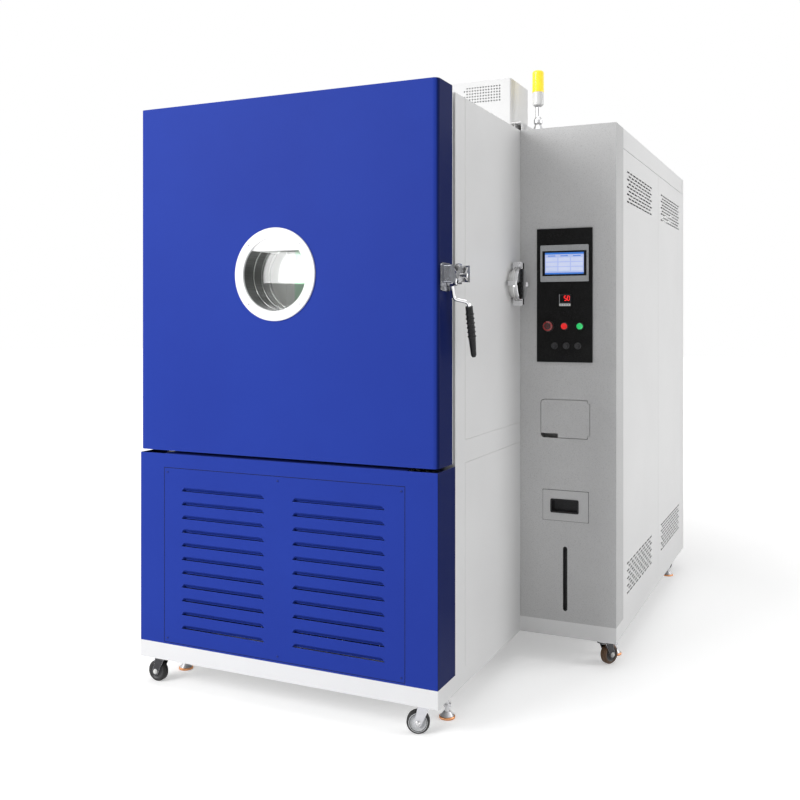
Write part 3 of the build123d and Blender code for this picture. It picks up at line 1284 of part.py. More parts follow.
# Access flap: a plate with a finger notch, rolled into a barrel round its pin
with BuildPart() as access_flap:
    with BuildSketch(front_plane(Y_CONTROL)):
        panel_outline(on_front(FLAP_LEFT), on_front(FLAP_RIGHT), FLAP_BOTTOM, FLAP_TOP, FLAP_RADIUS)
        panel_outline(
            on_front(FLAP_LEFT) - 1.0,
            on_front(FLAP_LEFT) + NOTCH_WIDTH,
            FLAP_BOTTOM - 1.0,
            FLAP_BOTTOM + NOTCH_HEIGHT,
            mode=Mode.SUBTRACT,
        )
        lug_corners(0.0)
    extrude(amount=-SHEET)
    with BuildSketch(Plane.XY.offset(FLAP_BOTTOM + BARREL_INSET)):
        with Locations((X_FLAP_HINGE, Y_FLAP_HINGE)):
            Circle(FLAP_BARREL)
    extrude(amount=FLAP_TOP - FLAP_BOTTOM - 2 * BARREL_INSET)
    with BuildSketch(Plane.XY.offset(FLAP_BOTTOM + LUG_INSET)):
        with Locations((X_FLAP_HINGE, Y_FLAP_HINGE)):
            Circle(FLAP_PIN)
    extrude(amount=FLAP_TOP - FLAP_BOTTOM - 2 * LUG_INSET)
finish(access_flap, "access_flap")

# Tank drawer: front plate and an open-topped tank behind it
Y_DRAWER = Y_CONTROL - SEAT_GAP - SHEET
with BuildPart() as tank_drawer:
    with BuildSketch(front_plane(Y_DRAWER)):
        panel_outline(on_front(DRAWER_LEFT), on_front(DRAWER_RIGHT), DRAWER_BOTTOM, DRAWER_TOP, 3.0)
    extrude(amount=-SHEET)
    with BuildSketch(front_plane(Y_DRAWER + SHEET)):
        panel_outline(
            on_front(SLEEVE_LEFT) + SLEEVE_GAP,
            on_front(SLEEVE_RIGHT) - SLEEVE_GAP,
            SLEEVE_BOTTOM + SEAT_GAP,
            SLEEVE_TOP - SLEEVE_GAP,
        )
    extrude(amount=-DRAWER_DEPTH)
    block(
        on_front(SLEEVE_LEFT) + SLEEVE_GAP + DRAWER_SIDE,
        on_front(SLEEVE_RIGHT) - SLEEVE_GAP - DRAWER_SIDE,
        Y_DRAWER + SHEET + PULL_DEPTH + 2 * PULL_WALL + DRAWER_SIDE,
        Y_DRAWER + SHEET + DRAWER_DEPTH - DRAWER_SIDE,
        SLEEVE_BOTTOM + SEAT_GAP + DRAWER_SIDE,
        SLEEVE_TOP,
        Mode.SUBTRACT,
    )
    block(
        on_front(PULL_LEFT) - SEAT_GAP,
        on_front(PULL_RIGHT) + SEAT_GAP,
        Y_DRAWER,
        Y_DRAWER + PULL_DEPTH + SEAT_GAP,
        PULL_BOTTOM - SEAT_GAP,
        PULL_TOP + SEAT_GAP,
        Mode.SUBTRACT,
    )
finish(tank_drawer, "tank_drawer")

# Recessed pull of the drawer: a moulded cup with a lip
with BuildPart() as drawer_pull:
    with BuildSketch(front_plane(Y_DRAWER - PULL_WALL)):
        panel_outline(
            on_front(PULL_LEFT) - PULL_LIP,
            on_front(PULL_RIGHT) + PULL_LIP,
            PULL_BOTTOM - PULL_LIP,
            PULL_TOP + PULL_LIP,
            6.0,
        )
    extrude(amount=-PULL_WALL)
    with BuildSketch(front_plane(Y_DRAWER)):
        panel_outline(on_front(PULL_LEFT), on_front(PULL_RIGHT), PULL_BOTTOM, PULL_TOP, 3.0)
    extrude(amount=-PULL_DEPTH)
    with BuildSketch(front_plane(Y_DRAWER - PULL_WALL)):
        panel_outline(
            on_front(PULL_LEFT) + PULL_WALL,
            on_front(PULL_RIGHT) - PULL_WALL,
            PULL_BOTTOM + PULL_WALL,
            PULL_TOP - PULL_WALL,
            3.0,
        )
    extrude(amount=-PULL_DEPTH, mode=Mode.SUBTRACT)
finish(drawer_pull, "drawer_pull")

# Level gauge: a slotted holder with a groove for the sight tube
with BuildPart() as level_gauge:
    with BuildSketch(front_plane(Y_CONTROL)):
        with Locations((on_front(GAUGE_CENTRE), (GAUGE_BOTTOM + GAUGE_TOP) / 2)):
            SlotOverall(GAUGE_TOP - GAUGE_BOTTOM, GAUGE_WIDTH, rotation=90.0)
    extrude(amount=-GAUGE_DEPTH)
    with BuildSketch(front_plane(Y_CONTROL)):
        with Locations((on_front(GAUGE_CENTRE), (GAUGE_BOTTOM + GAUGE_TOP) / 2)):
            SlotOverall(GAUGE_TOP - GAUGE_BOTTOM - 7.0, GAUGE_WIDTH - 7.0, rotation=90.0)
    extrude(amount=3.0 - GAUGE_DEPTH, mode=Mode.SUBTRACT)
finish(level_gauge, "level_gauge")

# Operator panel with the fixed collars of the buttons and three capped sockets
with BuildPart() as operator_panel:
    with BuildSketch(front_plane(Y_BOARD)):
        panel_outline(
            on_front(OPERATOR_LEFT), on_front(OPERATOR_RIGHT), OPERATOR_BOTTOM, OPERATOR_TOP, 2.0
        )
        body_cutouts()
    extrude(amount=-OPERATOR_THICKNESS)
    with BuildSketch(front_plane(Y_BOARD)):
        round_holes(BUTTON_COLLAR_RADIUS, Mode.ADD)
        round_holes(BUTTON_STEM_RADIUS + PIN_CLEARANCE)
    extrude(amount=BUTTON_COLLAR)
    with BuildSketch(front_plane(Y_BOARD)):
        round_holes(BUTTON_HOLE_RADIUS, Mode.ADD)
        round_holes(BUTTON_STEM_RADIUS + PIN_CLEARANCE)
    extrude(amount=-BUTTON_STEM_LENGTH)
    with BuildSketch(front_plane(Y_BOARD)):
        with Locations([(on_front(x), SOCKET_UP) for x in SOCKET_CENTRES]):
            Circle(SOCKET_RADIUS)
    extrude(amount=SOCKET_PROUD)
finish(operator_panel, "operator_panel")

with BuildPart() as touchscreen:
    with BuildSketch(front_plane(Y_BOARD)):
        with Locations((on_front(SCREEN_CENTRE), SCREEN_HEIGHT_UP)):
            RectangleRounded(SCREEN_WIDTH, SCREEN_HEIGHT, 4.0)
    extrude(amount=SCREEN_PROUD)
    with BuildSketch(front_plane(Y_BOARD - SCREEN_PROUD)):
        with Locations((on_front(SCREEN_CENTRE), SCREEN_HEIGHT_UP)):
            Rectangle(SCREEN_RECESS_WIDTH, SCREEN_RECESS_HEIGHT)
    extrude(amount=-SCREEN_RECESS, mode=Mode.SUBTRACT)
    with BuildSketch(front_plane(Y_BOARD)):
        with Locations((on_front(SCREEN_CENTRE), SCREEN_HEIGHT_UP)):
            Rectangle(SCREEN_BODY_WIDTH, SCREEN_BODY_HEIGHT)
    extrude(amount=-SCREEN_BODY_DEPTH)
finish(touchscreen, "touchscreen")

with BuildPart() as limit_controller:
    with BuildSketch(front_plane(Y_BOARD)):
        with Locations((on_front(LIMITER_CENTRE), LIMITER_UP)):
            RectangleRounded(LIMITER_SIZE, LIMITER_SIZE, 3.0)
    extrude(amount=LIMITER_PROUD)
    with BuildSketch(front_plane(Y_BOARD - LIMITER_PROUD)):
        with Locations((on_front(LIMITER_CENTRE), LIMITER_UP + 6.0)):
            Rectangle(LIMITER_SIZE - 8.0, LIMITER_SIZE - 20.0)
    extrude(amount=-SCREEN_RECESS, mode=Mode.SUBTRACT)
    with BuildSketch(front_plane(Y_BOARD)):
        with Locations((on_front(LIMITER_CENTRE), LIMITER_UP)):
            Rectangle(LIMITER_BODY, LIMITER_BODY)
    extrude(amount=-LIMITER_DEPTH)
finish(limit_controller, "limit_controller")

Y_COLLAR = Y_BOARD - BUTTON_COLLAR


def button_stem(x, travel):
    """The stem of one button, through its collar and the panel."""
    with BuildSketch(front_plane(Y_COLLAR - travel - SEAT_GAP)) as stem:
        with Locations((on_front(x), BUTTON_UP)):
            Circle(BUTTON_STEM_RADIUS)
    extrude(stem.sketch, amount=-(BUTTON_STEM_LENGTH + travel))


with BuildPart() as estop_button:
    button_stem(ESTOP_CENTRE, ESTOP_TRAVEL)
    with BuildSketch(front_plane(Y_COLLAR - ESTOP_TRAVEL - SEAT_GAP)):
        with Locations((on_front(ESTOP_CENTRE), BUTTON_UP)):
            Circle(ESTOP_RADIUS)
    extrude(amount=ESTOP_CAP)
    chamfer(estop_button.edges().group_by(Axis.Y)[0], length=3.0, length2=5.0)
finish(estop_button, "estop_button")

for button_name, button_x in (("power_button", POWER_CENTRE), ("start_button", START_CENTRE)):
    with BuildPart() as round_button:
        button_stem(button_x, BUTTON_TRAVEL)
        with BuildSketch(front_plane(Y_COLLAR - BUTTON_TRAVEL - SEAT_GAP)):
            with Locations((on_front(button_x), BUTTON_UP)):
                Circle(BUTTON_CAP_RADIUS)
        extrude(amount=BUTTON_CAP - BUTTON_TRAVEL)
        chamfer(round_button.edges().group_by(Axis.Y)[0], length=1.2)
    finish(round_button, button_name)

# Side panels of the control cabinet, each with a slotted grille above and below
GRILLE_SLOT = 48.0
GRILLE_SLOT_HEIGHT = 7.0
GRILLE_PITCH_Y = 62.0
GRILLE_PITCH_Z = 14.75
GRILLE_ROWS = 9
GRILLE_MARGIN_FRONT = 74.0
GRILLE_ABOVE_DECK = 76.0
GRILLE_BELOW_CAP = 79.0
GRILLE_SLOTS = 9
GRILLE_HEIGHT = (GRILLE_ROWS - 1) * GRILLE_PITCH_Z + GRILLE_SLOT_HEIGHT


def grille(panel_start, z_middle):
    """Cuts one grille of slots in rows that are staggered by half a pitch."""
    length = GRILLE_SLOT + (GRILLE_SLOTS - 1) * GRILLE_PITCH_Y
    y_middle = panel_start + GRILLE_MARGIN_FRONT + length / 2
    with BuildSketch(side_plane(X_RIGHT)) as slots:
        with Locations((y_middle, z_middle)):
            with GridLocations(GRILLE_PITCH_Y, 2 * GRILLE_PITCH_Z, GRILLE_SLOTS, GRILLE_ROWS // 2 + 1):
                Rectangle(GRILLE_SLOT, GRILLE_SLOT_HEIGHT)
            with GridLocations(GRILLE_PITCH_Y, 2 * GRILLE_PITCH_Z, GRILLE_SLOTS - 1, GRILLE_ROWS // 2):
                Rectangle(GRILLE_SLOT, GRILLE_SLOT_HEIGHT)
    extrude(slots.sketch, amount=-SHEET, mode=Mode.SUBTRACT)


with BuildPart() as control_side_panels:
    for panel_front, panel_back in (
        (Y_CONTROL_SIDE + SEAM / 2, Y_CENTRE_SEAM - SEAM / 2),
        (Y_CENTRE_SEAM + SEAM / 2, Y_REAR_POST - SEAM),
    ):
        with BuildSketch(side_plane(X_RIGHT)):
            panel_outline(panel_front, panel_back, Z_DECK, Z_CAP - SEAM)
        extrude(amount=-SHEET)
        grille(panel_front, Z_DECK + GRILLE_ABOVE_DECK + GRILLE_HEIGHT / 2)
        grille(panel_front, Z_CAP - GRILLE_BELOW_CAP - GRILLE_HEIGHT / 2)
finish(control_side_panels, "control_side_panels")

# Rear panels of both cabinets, with long vent slots and the supply glands
VENT_SLOT = 300.0
VENT_HEIGHT = 9.0
VENT_PITCH = 26.0
VENT_ROWS = 9
GLAND_UP = 330.0
GLAND_TUBE_RADIUS = GLAND_BORE_RADIUS + 3.0
X_GLAND = (X_INNER + X_RIGHT) / 2
with BuildPart() as rear_panels:
    for start, end in (
        (X_LEFT + POST_SIZE + SEAM, X_INNER - SEAM / 2),
        (X_INNER + SEAM / 2, X_RIGHT - POST_SIZE - SEAM),
    ):
        with BuildSketch(front_plane(Y_REAR - SHEET)):
            panel_outline(start, end, Z_DECK, Z_CAP - SEAM)
            with Locations(((start + end) / 2, Z_CAP - 220.0), ((start + end) / 2, Z_DECK + 420.0)):
                with GridLocations(0, VENT_PITCH, 1, VENT_ROWS):
                    Rectangle(VENT_SLOT, VENT_HEIGHT, mode=Mode.SUBTRACT)
        extrude(amount=-SHEET)
    with BuildSketch(front_plane(Y_REAR - SHEET)):
        with Locations((X_GLAND, GLAND_UP)):
            Circle(GLAND_TUBE_RADIUS + SEAT_GAP)
    extrude(amount=-SHEET, mode=Mode.SUBTRACT)
    block(X_LEFT + POST_SIZE + SEAM, X_INNER - SEAM / 2, Y_REAR - SHEET, Y_REAR, Z_CAP, Z_POST_TOP)
finish(rear_panels, "rear_panels")

# Supply gland: a hexagonal body and a domed nut on a threaded tube through the rear panel
GLAND_NUT = 14.0
GLAND_INNER = 16.0
with BuildPart() as supply_gland:
    with BuildSketch(front_plane(Y_REAR)):
        with Locations((X_GLAND, GLAND_UP)):
            RegularPolygon(GLAND_RADIUS, 6)
    extrude(amount=-GLAND_NUT)
    with BuildSketch(front_plane(Y_REAR + GLAND_NUT)):
        with Locations((X_GLAND, GLAND_UP)):
            Circle(GLAND_RADIUS - 2.0)
    extrude(amount=-(GLAND_PROUD - GLAND_NUT), taper=12.0)
    with BuildSketch(front_plane(Y_REAR)):
        with Locations((X_GLAND, GLAND_UP)):
            Circle(GLAND_TUBE_RADIUS)
    extrude(amount=GLAND_INNER)
    with BuildSketch(front_plane(Y_REAR - GLAND_INNER)):
        with Locations((X_GLAND, GLAND_UP)):
            Circle(GLAND_BORE_RADIUS)
    extrude(amount=-(GLAND_INNER + GLAND_PROUD), mode=Mode.SUBTRACT)
finish(supply_gland, "supply_gland")

# Electrical gear: a mounting plate on the cabinet wall with rows of switchgear
GEAR_PLATE_FRONT = 120.0
GEAR_PLATE_LENGTH = 640.0
GEAR_PLATE_BOTTOM = 760.0
GEAR_PLATE_HEIGHT = 900.0
GEAR_WIDTH = 46.0
GEAR_HEIGHT = 84.0
GEAR_DEPTH = 76.0
GEAR_STANDOFF = 12.0
X_GEAR = X_INNER + SEAT_GAP + GEAR_STANDOFF
Y_GEAR = Y_CONTROL_SIDE + GEAR_PLATE_FRONT + GEAR_PLATE_LENGTH / 2
Z_GEAR = GEAR_PLATE_BOTTOM + GEAR_PLATE_HEIGHT / 2
with BuildPart() as electrical_gear:
    with BuildSketch(side_plane(X_GEAR)):
        with Locations((Y_GEAR, Z_GEAR)):
            Rectangle(GEAR_PLATE_LENGTH, GEAR_PLATE_HEIGHT)
    extrude(amount=3.0)
    with BuildSketch(side_plane(X_INNER + SEAT_GAP)):
        with Locations((Y_GEAR, Z_GEAR)):
            with GridLocations(GEAR_PLATE_LENGTH - 60.0, GEAR_PLATE_HEIGHT - 60.0, 2, 2):
                Circle(8.0)
    extrude(amount=GEAR_STANDOFF)
    with BuildSketch(side_plane(X_GEAR + 3.0)):
        with Locations((Y_GEAR, Z_GEAR)):
            with GridLocations(GEAR_WIDTH + 8.0, 220.0, 9, 3):
                Rectangle(GEAR_WIDTH, GEAR_HEIGHT)
    extrude(amount=GEAR_DEPTH)
finish(electrical_gear, "electrical_gear")

# Signal beacon on the control cabinet's roof
BEACON_FROM_LEFT = 50.0
BEACON_FROM_FRONT = 930.0
BEACON_FOOT_RADIUS = 23.0
BEACON_STEM_RADIUS = 13.0
BEACON_COLLAR_UP = 109.0
BEACON_COLLAR_HEIGHT = 52.0
BEACON_COLLAR_RADIUS = 22.0
BEACON_LENS_RADIUS = 24.0
BEACON_LENS_HEIGHT = 89.0
BEACON_DOME = 10.0
X_BEACON = X_INNER + BEACON_FROM_LEFT
Y_BEACON = Y_FRONT + BEACON_FROM_FRONT
Z_COLLAR = ROOF_HEIGHT + BEACON_COLLAR_UP
Z_LENS = Z_COLLAR + BEACON_COLLAR_HEIGHT
with BuildPart() as beacon_stem:
    with BuildSketch(Plane.XZ.offset(-Y_BEACON)):
        with BuildLine():
            Polyline(
                (X_BEACON, ROOF_HEIGHT),
                (X_BEACON + BEACON_FOOT_RADIUS, ROOF_HEIGHT),
                (X_BEACON + BEACON_FOOT_RADIUS, ROOF_HEIGHT + 8.0),
                (X_BEACON + BEACON_STEM_RADIUS, ROOF_HEIGHT + 30.0),
                (X_BEACON + BEACON_STEM_RADIUS + 4.0, ROOF_HEIGHT + 38.0),
                (X_BEACON + BEACON_STEM_RADIUS + 4.0, ROOF_HEIGHT + 50.0),
                (X_BEACON + BEACON_STEM_RADIUS - 3.0, ROOF_HEIGHT + 64.0),
                (X_BEACON + BEACON_STEM_RADIUS - 3.0, Z_COLLAR - 8.0),
                (X_BEACON + BEACON_COLLAR_RADIUS - 3.0, Z_COLLAR),
                (X_BEACON + BEACON_COLLAR_RADIUS, Z_COLLAR + 3.0),
                (X_BEACON + BEACON_COLLAR_RADIUS, Z_LENS),
                (X_BEACON, Z_LENS),
                close=True,
            )
        make_face()
    revolve(axis=Axis((X_BEACON, Y_BEACON, 0), (0, 0, 1)))
finish(beacon_stem, "beacon_stem")

with BuildPart() as beacon_lens:
    with BuildSketch(Plane.XZ.offset(-Y_BEACON)):
        with BuildLine():
            lens_side = X_BEACON + BEACON_LENS_RADIUS
            Polyline(
                (X_BEACON, Z_LENS + BEACON_LENS_HEIGHT),
                (X_BEACON, Z_LENS),
                (lens_side, Z_LENS),
                (lens_side, Z_LENS + BEACON_LENS_HEIGHT - BEACON_DOME),
                (lens_side - 0.4 * BEACON_DOME, Z_LENS + BEACON_LENS_HEIGHT - 0.4 * BEACON_DOME),
                (lens_side - 1.4 * BEACON_DOME, Z_LENS + BEACON_LENS_HEIGHT),
                close=True,
            )
        make_face()
    revolve(axis=Axis((X_BEACON, Y_BEACON, 0), (0, 0, 1)))
finish(beacon_lens, "beacon_lens")

# Door hinges: alternate knuckles round one pin, with a leaf on the cabinet and on the door
HINGE_UPS = (90.0, 560.0, 1030.0)
LEAF_LENGTH = 74.0
LEAF_FROM_AXIS = 26.0
KNUCKLE_GAP = 0.5
X_HINGE = X_LEFT - HINGE_OUT
Y_HINGE = Y_FRAME - HINGE_OUT
KNUCKLE_HEIGHT = HINGE_HEIGHT / 3


def hinge_arm(direction, z_from, height, bore):
    """A knuckle and the arm that joins it to its leaf, one way along Y."""
    with BuildSketch(Plane.XY.offset(z_from)) as arm:
        with BuildSketch(mode=Mode.PRIVATE) as ends:
            with Locations((X_HINGE, Y_HINGE)):
                Circle(KNUCKLE_RADIUS)
            with Locations((X_LEFT - HINGE_LEAF / 2, Y_HINGE + direction * (LEAF_FROM_AXIS + 6.0))):
                Rectangle(HINGE_LEAF, 12.0)
        make_hull(ends.sketch.edges())
        with Locations((X_HINGE, Y_HINGE)):
            Circle(bore, mode=Mode.SUBTRACT)
    extrude(arm.sketch, amount=height)


def hinge_leaf(direction, z_from):
    """The flat leaf that is screwed to the side wall."""
    near = Y_HINGE + direction * LEAF_FROM_AXIS
    far = near + direction * LEAF_LENGTH
    block(
        X_LEFT - HINGE_LEAF,
        X_LEFT,
        min(near, far),
        max(near, far),
        z_from,
        z_from + HINGE_HEIGHT,
    )


with BuildPart() as hinge_frame_leaves:
    for hinge_up in HINGE_UPS:
        hinge_z = Z_DOOR_BOTTOM + hinge_up
        hinge_leaf(1, hinge_z)
        for knuckle_z in (hinge_z, hinge_z + 2 * KNUCKLE_HEIGHT):
            hinge_arm(1, knuckle_z, KNUCKLE_HEIGHT, HINGE_PIN_RADIUS)
        with BuildSketch(Plane.XY.offset(hinge_z)):
            with Locations((X_HINGE, Y_HINGE)):
                Circle(HINGE_PIN_RADIUS)
        extrude(amount=HINGE_HEIGHT)
finish(hinge_frame_leaves, "hinge_frame_leaves")

with BuildPart() as hinge_door_leaves:
    for hinge_up in HINGE_UPS:
        hinge_z = Z_DOOR_BOTTOM + hinge_up
        hinge_leaf(-1, hinge_z)
        hinge_arm(
            -1,
            hinge_z + KNUCKLE_HEIGHT + KNUCKLE_GAP,
            KNUCKLE_HEIGHT - 2 * KNUCKLE_GAP,
            HINGE_PIN_RADIUS + PIN_CLEARANCE,
        )
finish(hinge_door_leaves, "hinge_door_leaves")

# Door: outer shell, liner with its raised plug, and the seal
X_WINDOW = X_INNER - WINDOW_FROM_RIGHT
Z_WINDOW = Z_DOOR_BOTTOM + WINDOW_ABOVE_DOOR_BOTTOM
SLEEVE_RADIUS = WINDOW_RADIUS + SLEEVE_WALL
WINDOW_HOLE = SLEEVE_RADIUS + SEAT_GAP
Y_DOOR_BACK = Y_FRONT + DOOR_THICKNESS
Y_PLUG_BACK = Y_DOOR_BACK + PLUG_DEPTH


def window_circle(radius, mode=Mode.ADD):
    """A circle about the window's centre, on a plane that faces the front."""
    with Locations((X_WINDOW, Z_WINDOW)):
        Circle(radius, mode=mode)


with BuildPart() as door_shell:
    with BuildSketch(Plane.XY.offset(Z_DOOR_BOTTOM)):
        panel_outline(X_LEFT, X_INNER, Y_FRONT, Y_DOOR_BACK - SHEET)
    extrude(amount=Z_DOOR_TOP - Z_DOOR_BOTTOM)
    front_edges = door_shell.edges().filter_by(Axis.Z).group_by(Axis.Y)[0]
    fillet(front_edges, radius=DOOR_EDGE_RADIUS)
    offset(amount=-SHEET, openings=door_shell.faces().sort_by(Axis.Y)[-1])
    with BuildSketch(front_plane(Y_FRONT)):
        window_circle(WINDOW_HOLE)
    extrude(amount=-SHEET, mode=Mode.SUBTRACT)
finish(door_shell, "door_shell")

with BuildPart() as door_liner:
    with BuildSketch(front_plane(Y_DOOR_BACK - SHEET)):
        panel_outline(X_LEFT, X_INNER, Z_DOOR_BOTTOM, Z_DOOR_TOP)
    extrude(amount=-SHEET)
    with BuildSketch(front_plane(Y_DOOR_BACK)):
        panel_outline(
            X_MOUTH_LEFT + PLUG_CLEARANCE,
            X_MOUTH_RIGHT - PLUG_CLEARANCE,
            Z_FLOOR + PLUG_CLEARANCE,
            Z_CEILING - PLUG_CLEARANCE,
            10.0,
        )
    extrude(amount=-PLUG_DEPTH)
    with BuildSketch(front_plane(Y_DOOR_BACK - SHEET)):
        panel_outline(
            X_MOUTH_LEFT + PLUG_CLEARANCE + SHEET,
            X_MOUTH_RIGHT - PLUG_CLEARANCE - SHEET,
            Z_FLOOR + PLUG_CLEARANCE + SHEET,
            Z_CEILING - PLUG_CLEARANCE - SHEET,
            10.0 - SHEET,
        )
    extrude(amount=-PLUG_DEPTH, mode=Mode.SUBTRACT)
    with BuildSketch(front_plane(Y_DOOR_BACK)):
        window_circle(WINDOW_HOLE)
    extrude(amount=-PLUG_DEPTH, mode=Mode.SUBTRACT)
finish(door_liner, "door_liner")

SEAL_INSET = 8.0
SEAL_WIDTH = 34.0
with BuildPart() as door_seal:
    with BuildSketch(front_plane(Y_DOOR_BACK)):
        panel_outline(
            X_LEFT + SEAL_INSET,
            X_INNER - SEAL_INSET,
            Z_DOOR_BOTTOM + SEAL_INSET,
            ROOF_HEIGHT - SEAL_INSET,
            20.0,
        )
        panel_outline(
            X_LEFT + SEAL_INSET + SEAL_WIDTH,
            X_INNER - SEAL_INSET - SEAL_WIDTH,
            Z_DOOR_BOTTOM + SEAL_INSET + SEAL_WIDTH,
            ROOF_HEIGHT - SEAL_INSET - SEAL_WIDTH,
            10.0,
            Mode.SUBTRACT,
        )
    extrude(amount=-(SEAL_DEPTH - SEAT_GAP))
    chamfer(door_seal.edges().group_by(Axis.Y)[-1], length=6.0)
finish(door_seal, "door_seal")

# Window: bezels on both faces joined by a sleeve, panes and the lamp behind its chord
LAMP_SETBACK = 10.0
PANE_PLACES = (58.0, 110.0, 160.0)
PANE_RADIUS = WINDOW_RADIUS - SEAT_GAP
RETAINER_RADIUS = 4.0
with BuildPart() as window_bezel:
    with BuildSketch(front_plane(Y_FRONT)):
        window_circle(BEZEL_RADIUS)
        window_circle(WINDOW_RADIUS, Mode.SUBTRACT)
    extrude(amount=BEZEL_PROUD)
    chamfer(window_bezel.edges().group_by(Axis.Y)[0], length=1.5)
    with BuildSketch(front_plane(Y_PLUG_BACK)):
        window_circle(BEZEL_RADIUS)
        window_circle(WINDOW_RADIUS, Mode.SUBTRACT)
    extrude(amount=-2 * SHEET)
    with BuildSketch(front_plane(Y_FRONT)):
        window_circle(SLEEVE_RADIUS)
        window_circle(WINDOW_RADIUS, Mode.SUBTRACT)
    extrude(amount=-(Y_PLUG_BACK - Y_FRONT))
    # Lamp housing: the part of the round opening above its chord
    with BuildSketch(front_plane(Y_FRONT + LAMP_SETBACK)):
        window_circle(WINDOW_RADIUS - SEAT_GAP)
        with Locations((X_WINDOW, Z_WINDOW + LAMP_CHORD - WINDOW_RADIUS)):
            Rectangle(2 * WINDOW_RADIUS, 2 * WINDOW_RADIUS, mode=Mode.SUBTRACT)
    extrude(amount=-LAMP_DEPTH + LAMP_SETBACK)
finish(window_bezel, "window_bezel")

with BuildPart() as window_panes:
    for pane_depth in PANE_PLACES:
        with BuildSketch(front_plane(Y_FRONT + pane_depth)):
            window_circle(PANE_RADIUS)
        extrude(amount=-PANE_THICKNESS)
finish(window_panes, "window_panes")

# Latch: base block on the door's right side
LATCH_BACK = 90.0
LATCH_FRONT = 18.0
LATCH_BOTTOM = 1432.0
LATCH_TOP = 1522.0
LATCH_PLATE = 6.0
LATCH_OUT = 34.0
EAR_THICKNESS = 6.0
PIVOT_FROM_FRONT = 74.0
PIVOT_UP = 1462.0
PIVOT_RADIUS = 6.0
HUB_RADIUS = 15.0
HUB_GAP = 1.5
Y_PIVOT = Y_FRONT + PIVOT_FROM_FRONT
X_HUB_IN = X_INNER + LATCH_PLATE + HUB_GAP
X_HUB_OUT = X_INNER + LATCH_OUT - EAR_THICKNESS - HUB_GAP
with BuildPart() as latch_base:
    with BuildSketch(side_plane(X_INNER)):
        panel_outline(Y_FRONT + LATCH_FRONT, Y_FRONT + LATCH_BACK, LATCH_BOTTOM, LATCH_TOP, 7.0)
    extrude(amount=LATCH_PLATE)
    # Block and outer ear above and before the pivot
    with BuildSketch(side_plane(X_INNER)):
        panel_outline(
            Y_FRONT + LATCH_FRONT + 8.0, Y_PIVOT - HUB_RADIUS - 4.0, PIVOT_UP - 4.0, LATCH_TOP - 6.0, 5.0
        )
    extrude(amount=LATCH_OUT)
    with BuildSketch(side_plane(X_INNER + LATCH_OUT - EAR_THICKNESS)):
        with BuildSketch(mode=Mode.PRIVATE) as ear_ends:
            with Locations((Y_PIVOT, PIVOT_UP)):
                Circle(HUB_RADIUS - 2.0)
            with Locations((Y_FRONT + LATCH_FRONT + 17.0, LATCH_TOP - 22.0)):
                Rectangle(16.0, 30.0)
        make_hull(ear_ends.sketch.edges())
    extrude(amount=EAR_THICKNESS)
    with BuildSketch(side_plane(X_INNER)):
        with Locations((Y_PIVOT, PIVOT_UP)):
            Circle(PIVOT_RADIUS)
    extrude(amount=LATCH_OUT + 3.0)
finish(latch_base, "latch_base")

# Lever: hub, cam nose towards the roller, and a bent arm down to the grip
NOSE_REACH = 78.0
NOSE_ANGLE = 38.0
NOSE_RADIUS = 9.0
ARM_RADIUS = 6.5
ARM_DROP = 55.0
GRIP_OUT = 60.0
GRIP_TOP_FROM_FRONT = 119.0
GRIP_TOP_UP = 1383.0
GRIP_END_FROM_FRONT = 164.0
GRIP_END_UP = 1218.0
X_ARM = (X_HUB_IN + X_HUB_OUT) / 2
ARM_START = (X_ARM, Y_PIVOT + 6.0, PIVOT_UP - 4.0)
ARM_BEND = (X_ARM, Y_PIVOT + 24.0, PIVOT_UP - ARM_DROP)
GRIP_TOP = (X_INNER + GRIP_OUT, Y_FRONT + GRIP_TOP_FROM_FRONT, GRIP_TOP_UP)
GRIP_END = (X_INNER + GRIP_OUT, Y_FRONT + GRIP_END_FROM_FRONT, GRIP_END_UP)
GRIP_AXIS = Vector(*GRIP_END) - Vector(*GRIP_TOP)
GRIP_SOCKET = 30.0
ARM_KNEE_ABOVE = 14.0
ARM_KNEE = Vector(*GRIP_TOP) - GRIP_AXIS.normalized() * ARM_KNEE_ABOVE
ARM_END = Vector(*GRIP_TOP) + GRIP_AXIS.normalized() * GRIP_SOCKET
with BuildPart() as latch_lever:
    with BuildSketch(side_plane(X_HUB_IN)):
        with BuildSketch(mode=Mode.PRIVATE) as nose_ends:
            with Locations((Y_PIVOT, PIVOT_UP)):
                Circle(HUB_RADIUS)
            nose_y = Y_PIVOT + NOSE_REACH * math.cos(math.radians(NOSE_ANGLE))
            nose_z = PIVOT_UP + NOSE_REACH * math.sin(math.radians(NOSE_ANGLE))
            with Locations((nose_y, nose_z)):
                Circle(NOSE_RADIUS)
        make_hull(nose_ends.sketch.edges())
        with Locations((Y_PIVOT, PIVOT_UP)):
            Circle(PIVOT_RADIUS + PIN_CLEARANCE, mode=Mode.SUBTRACT)
    extrude(amount=X_HUB_OUT - X_HUB_IN)
    with BuildLine() as arm_path:
        FilletPolyline(ARM_START, ARM_BEND, ARM_KNEE, ARM_END, radius=16.0)
    with BuildSketch(Plane(origin=arm_path.line @ 0, z_dir=arm_path.line % 0)):
        Circle(ARM_RADIUS)
    sweep(path=arm_path.line)
    with BuildSketch(side_plane(X_HUB_IN)):
        with Locations((Y_PIVOT, PIVOT_UP)):
            Circle(PIVOT_RADIUS + PIN_CLEARANCE)
    extrude(amount=X_HUB_OUT - X_HUB_IN, mode=Mode.SUBTRACT)
finish(latch_lever, "latch_lever")

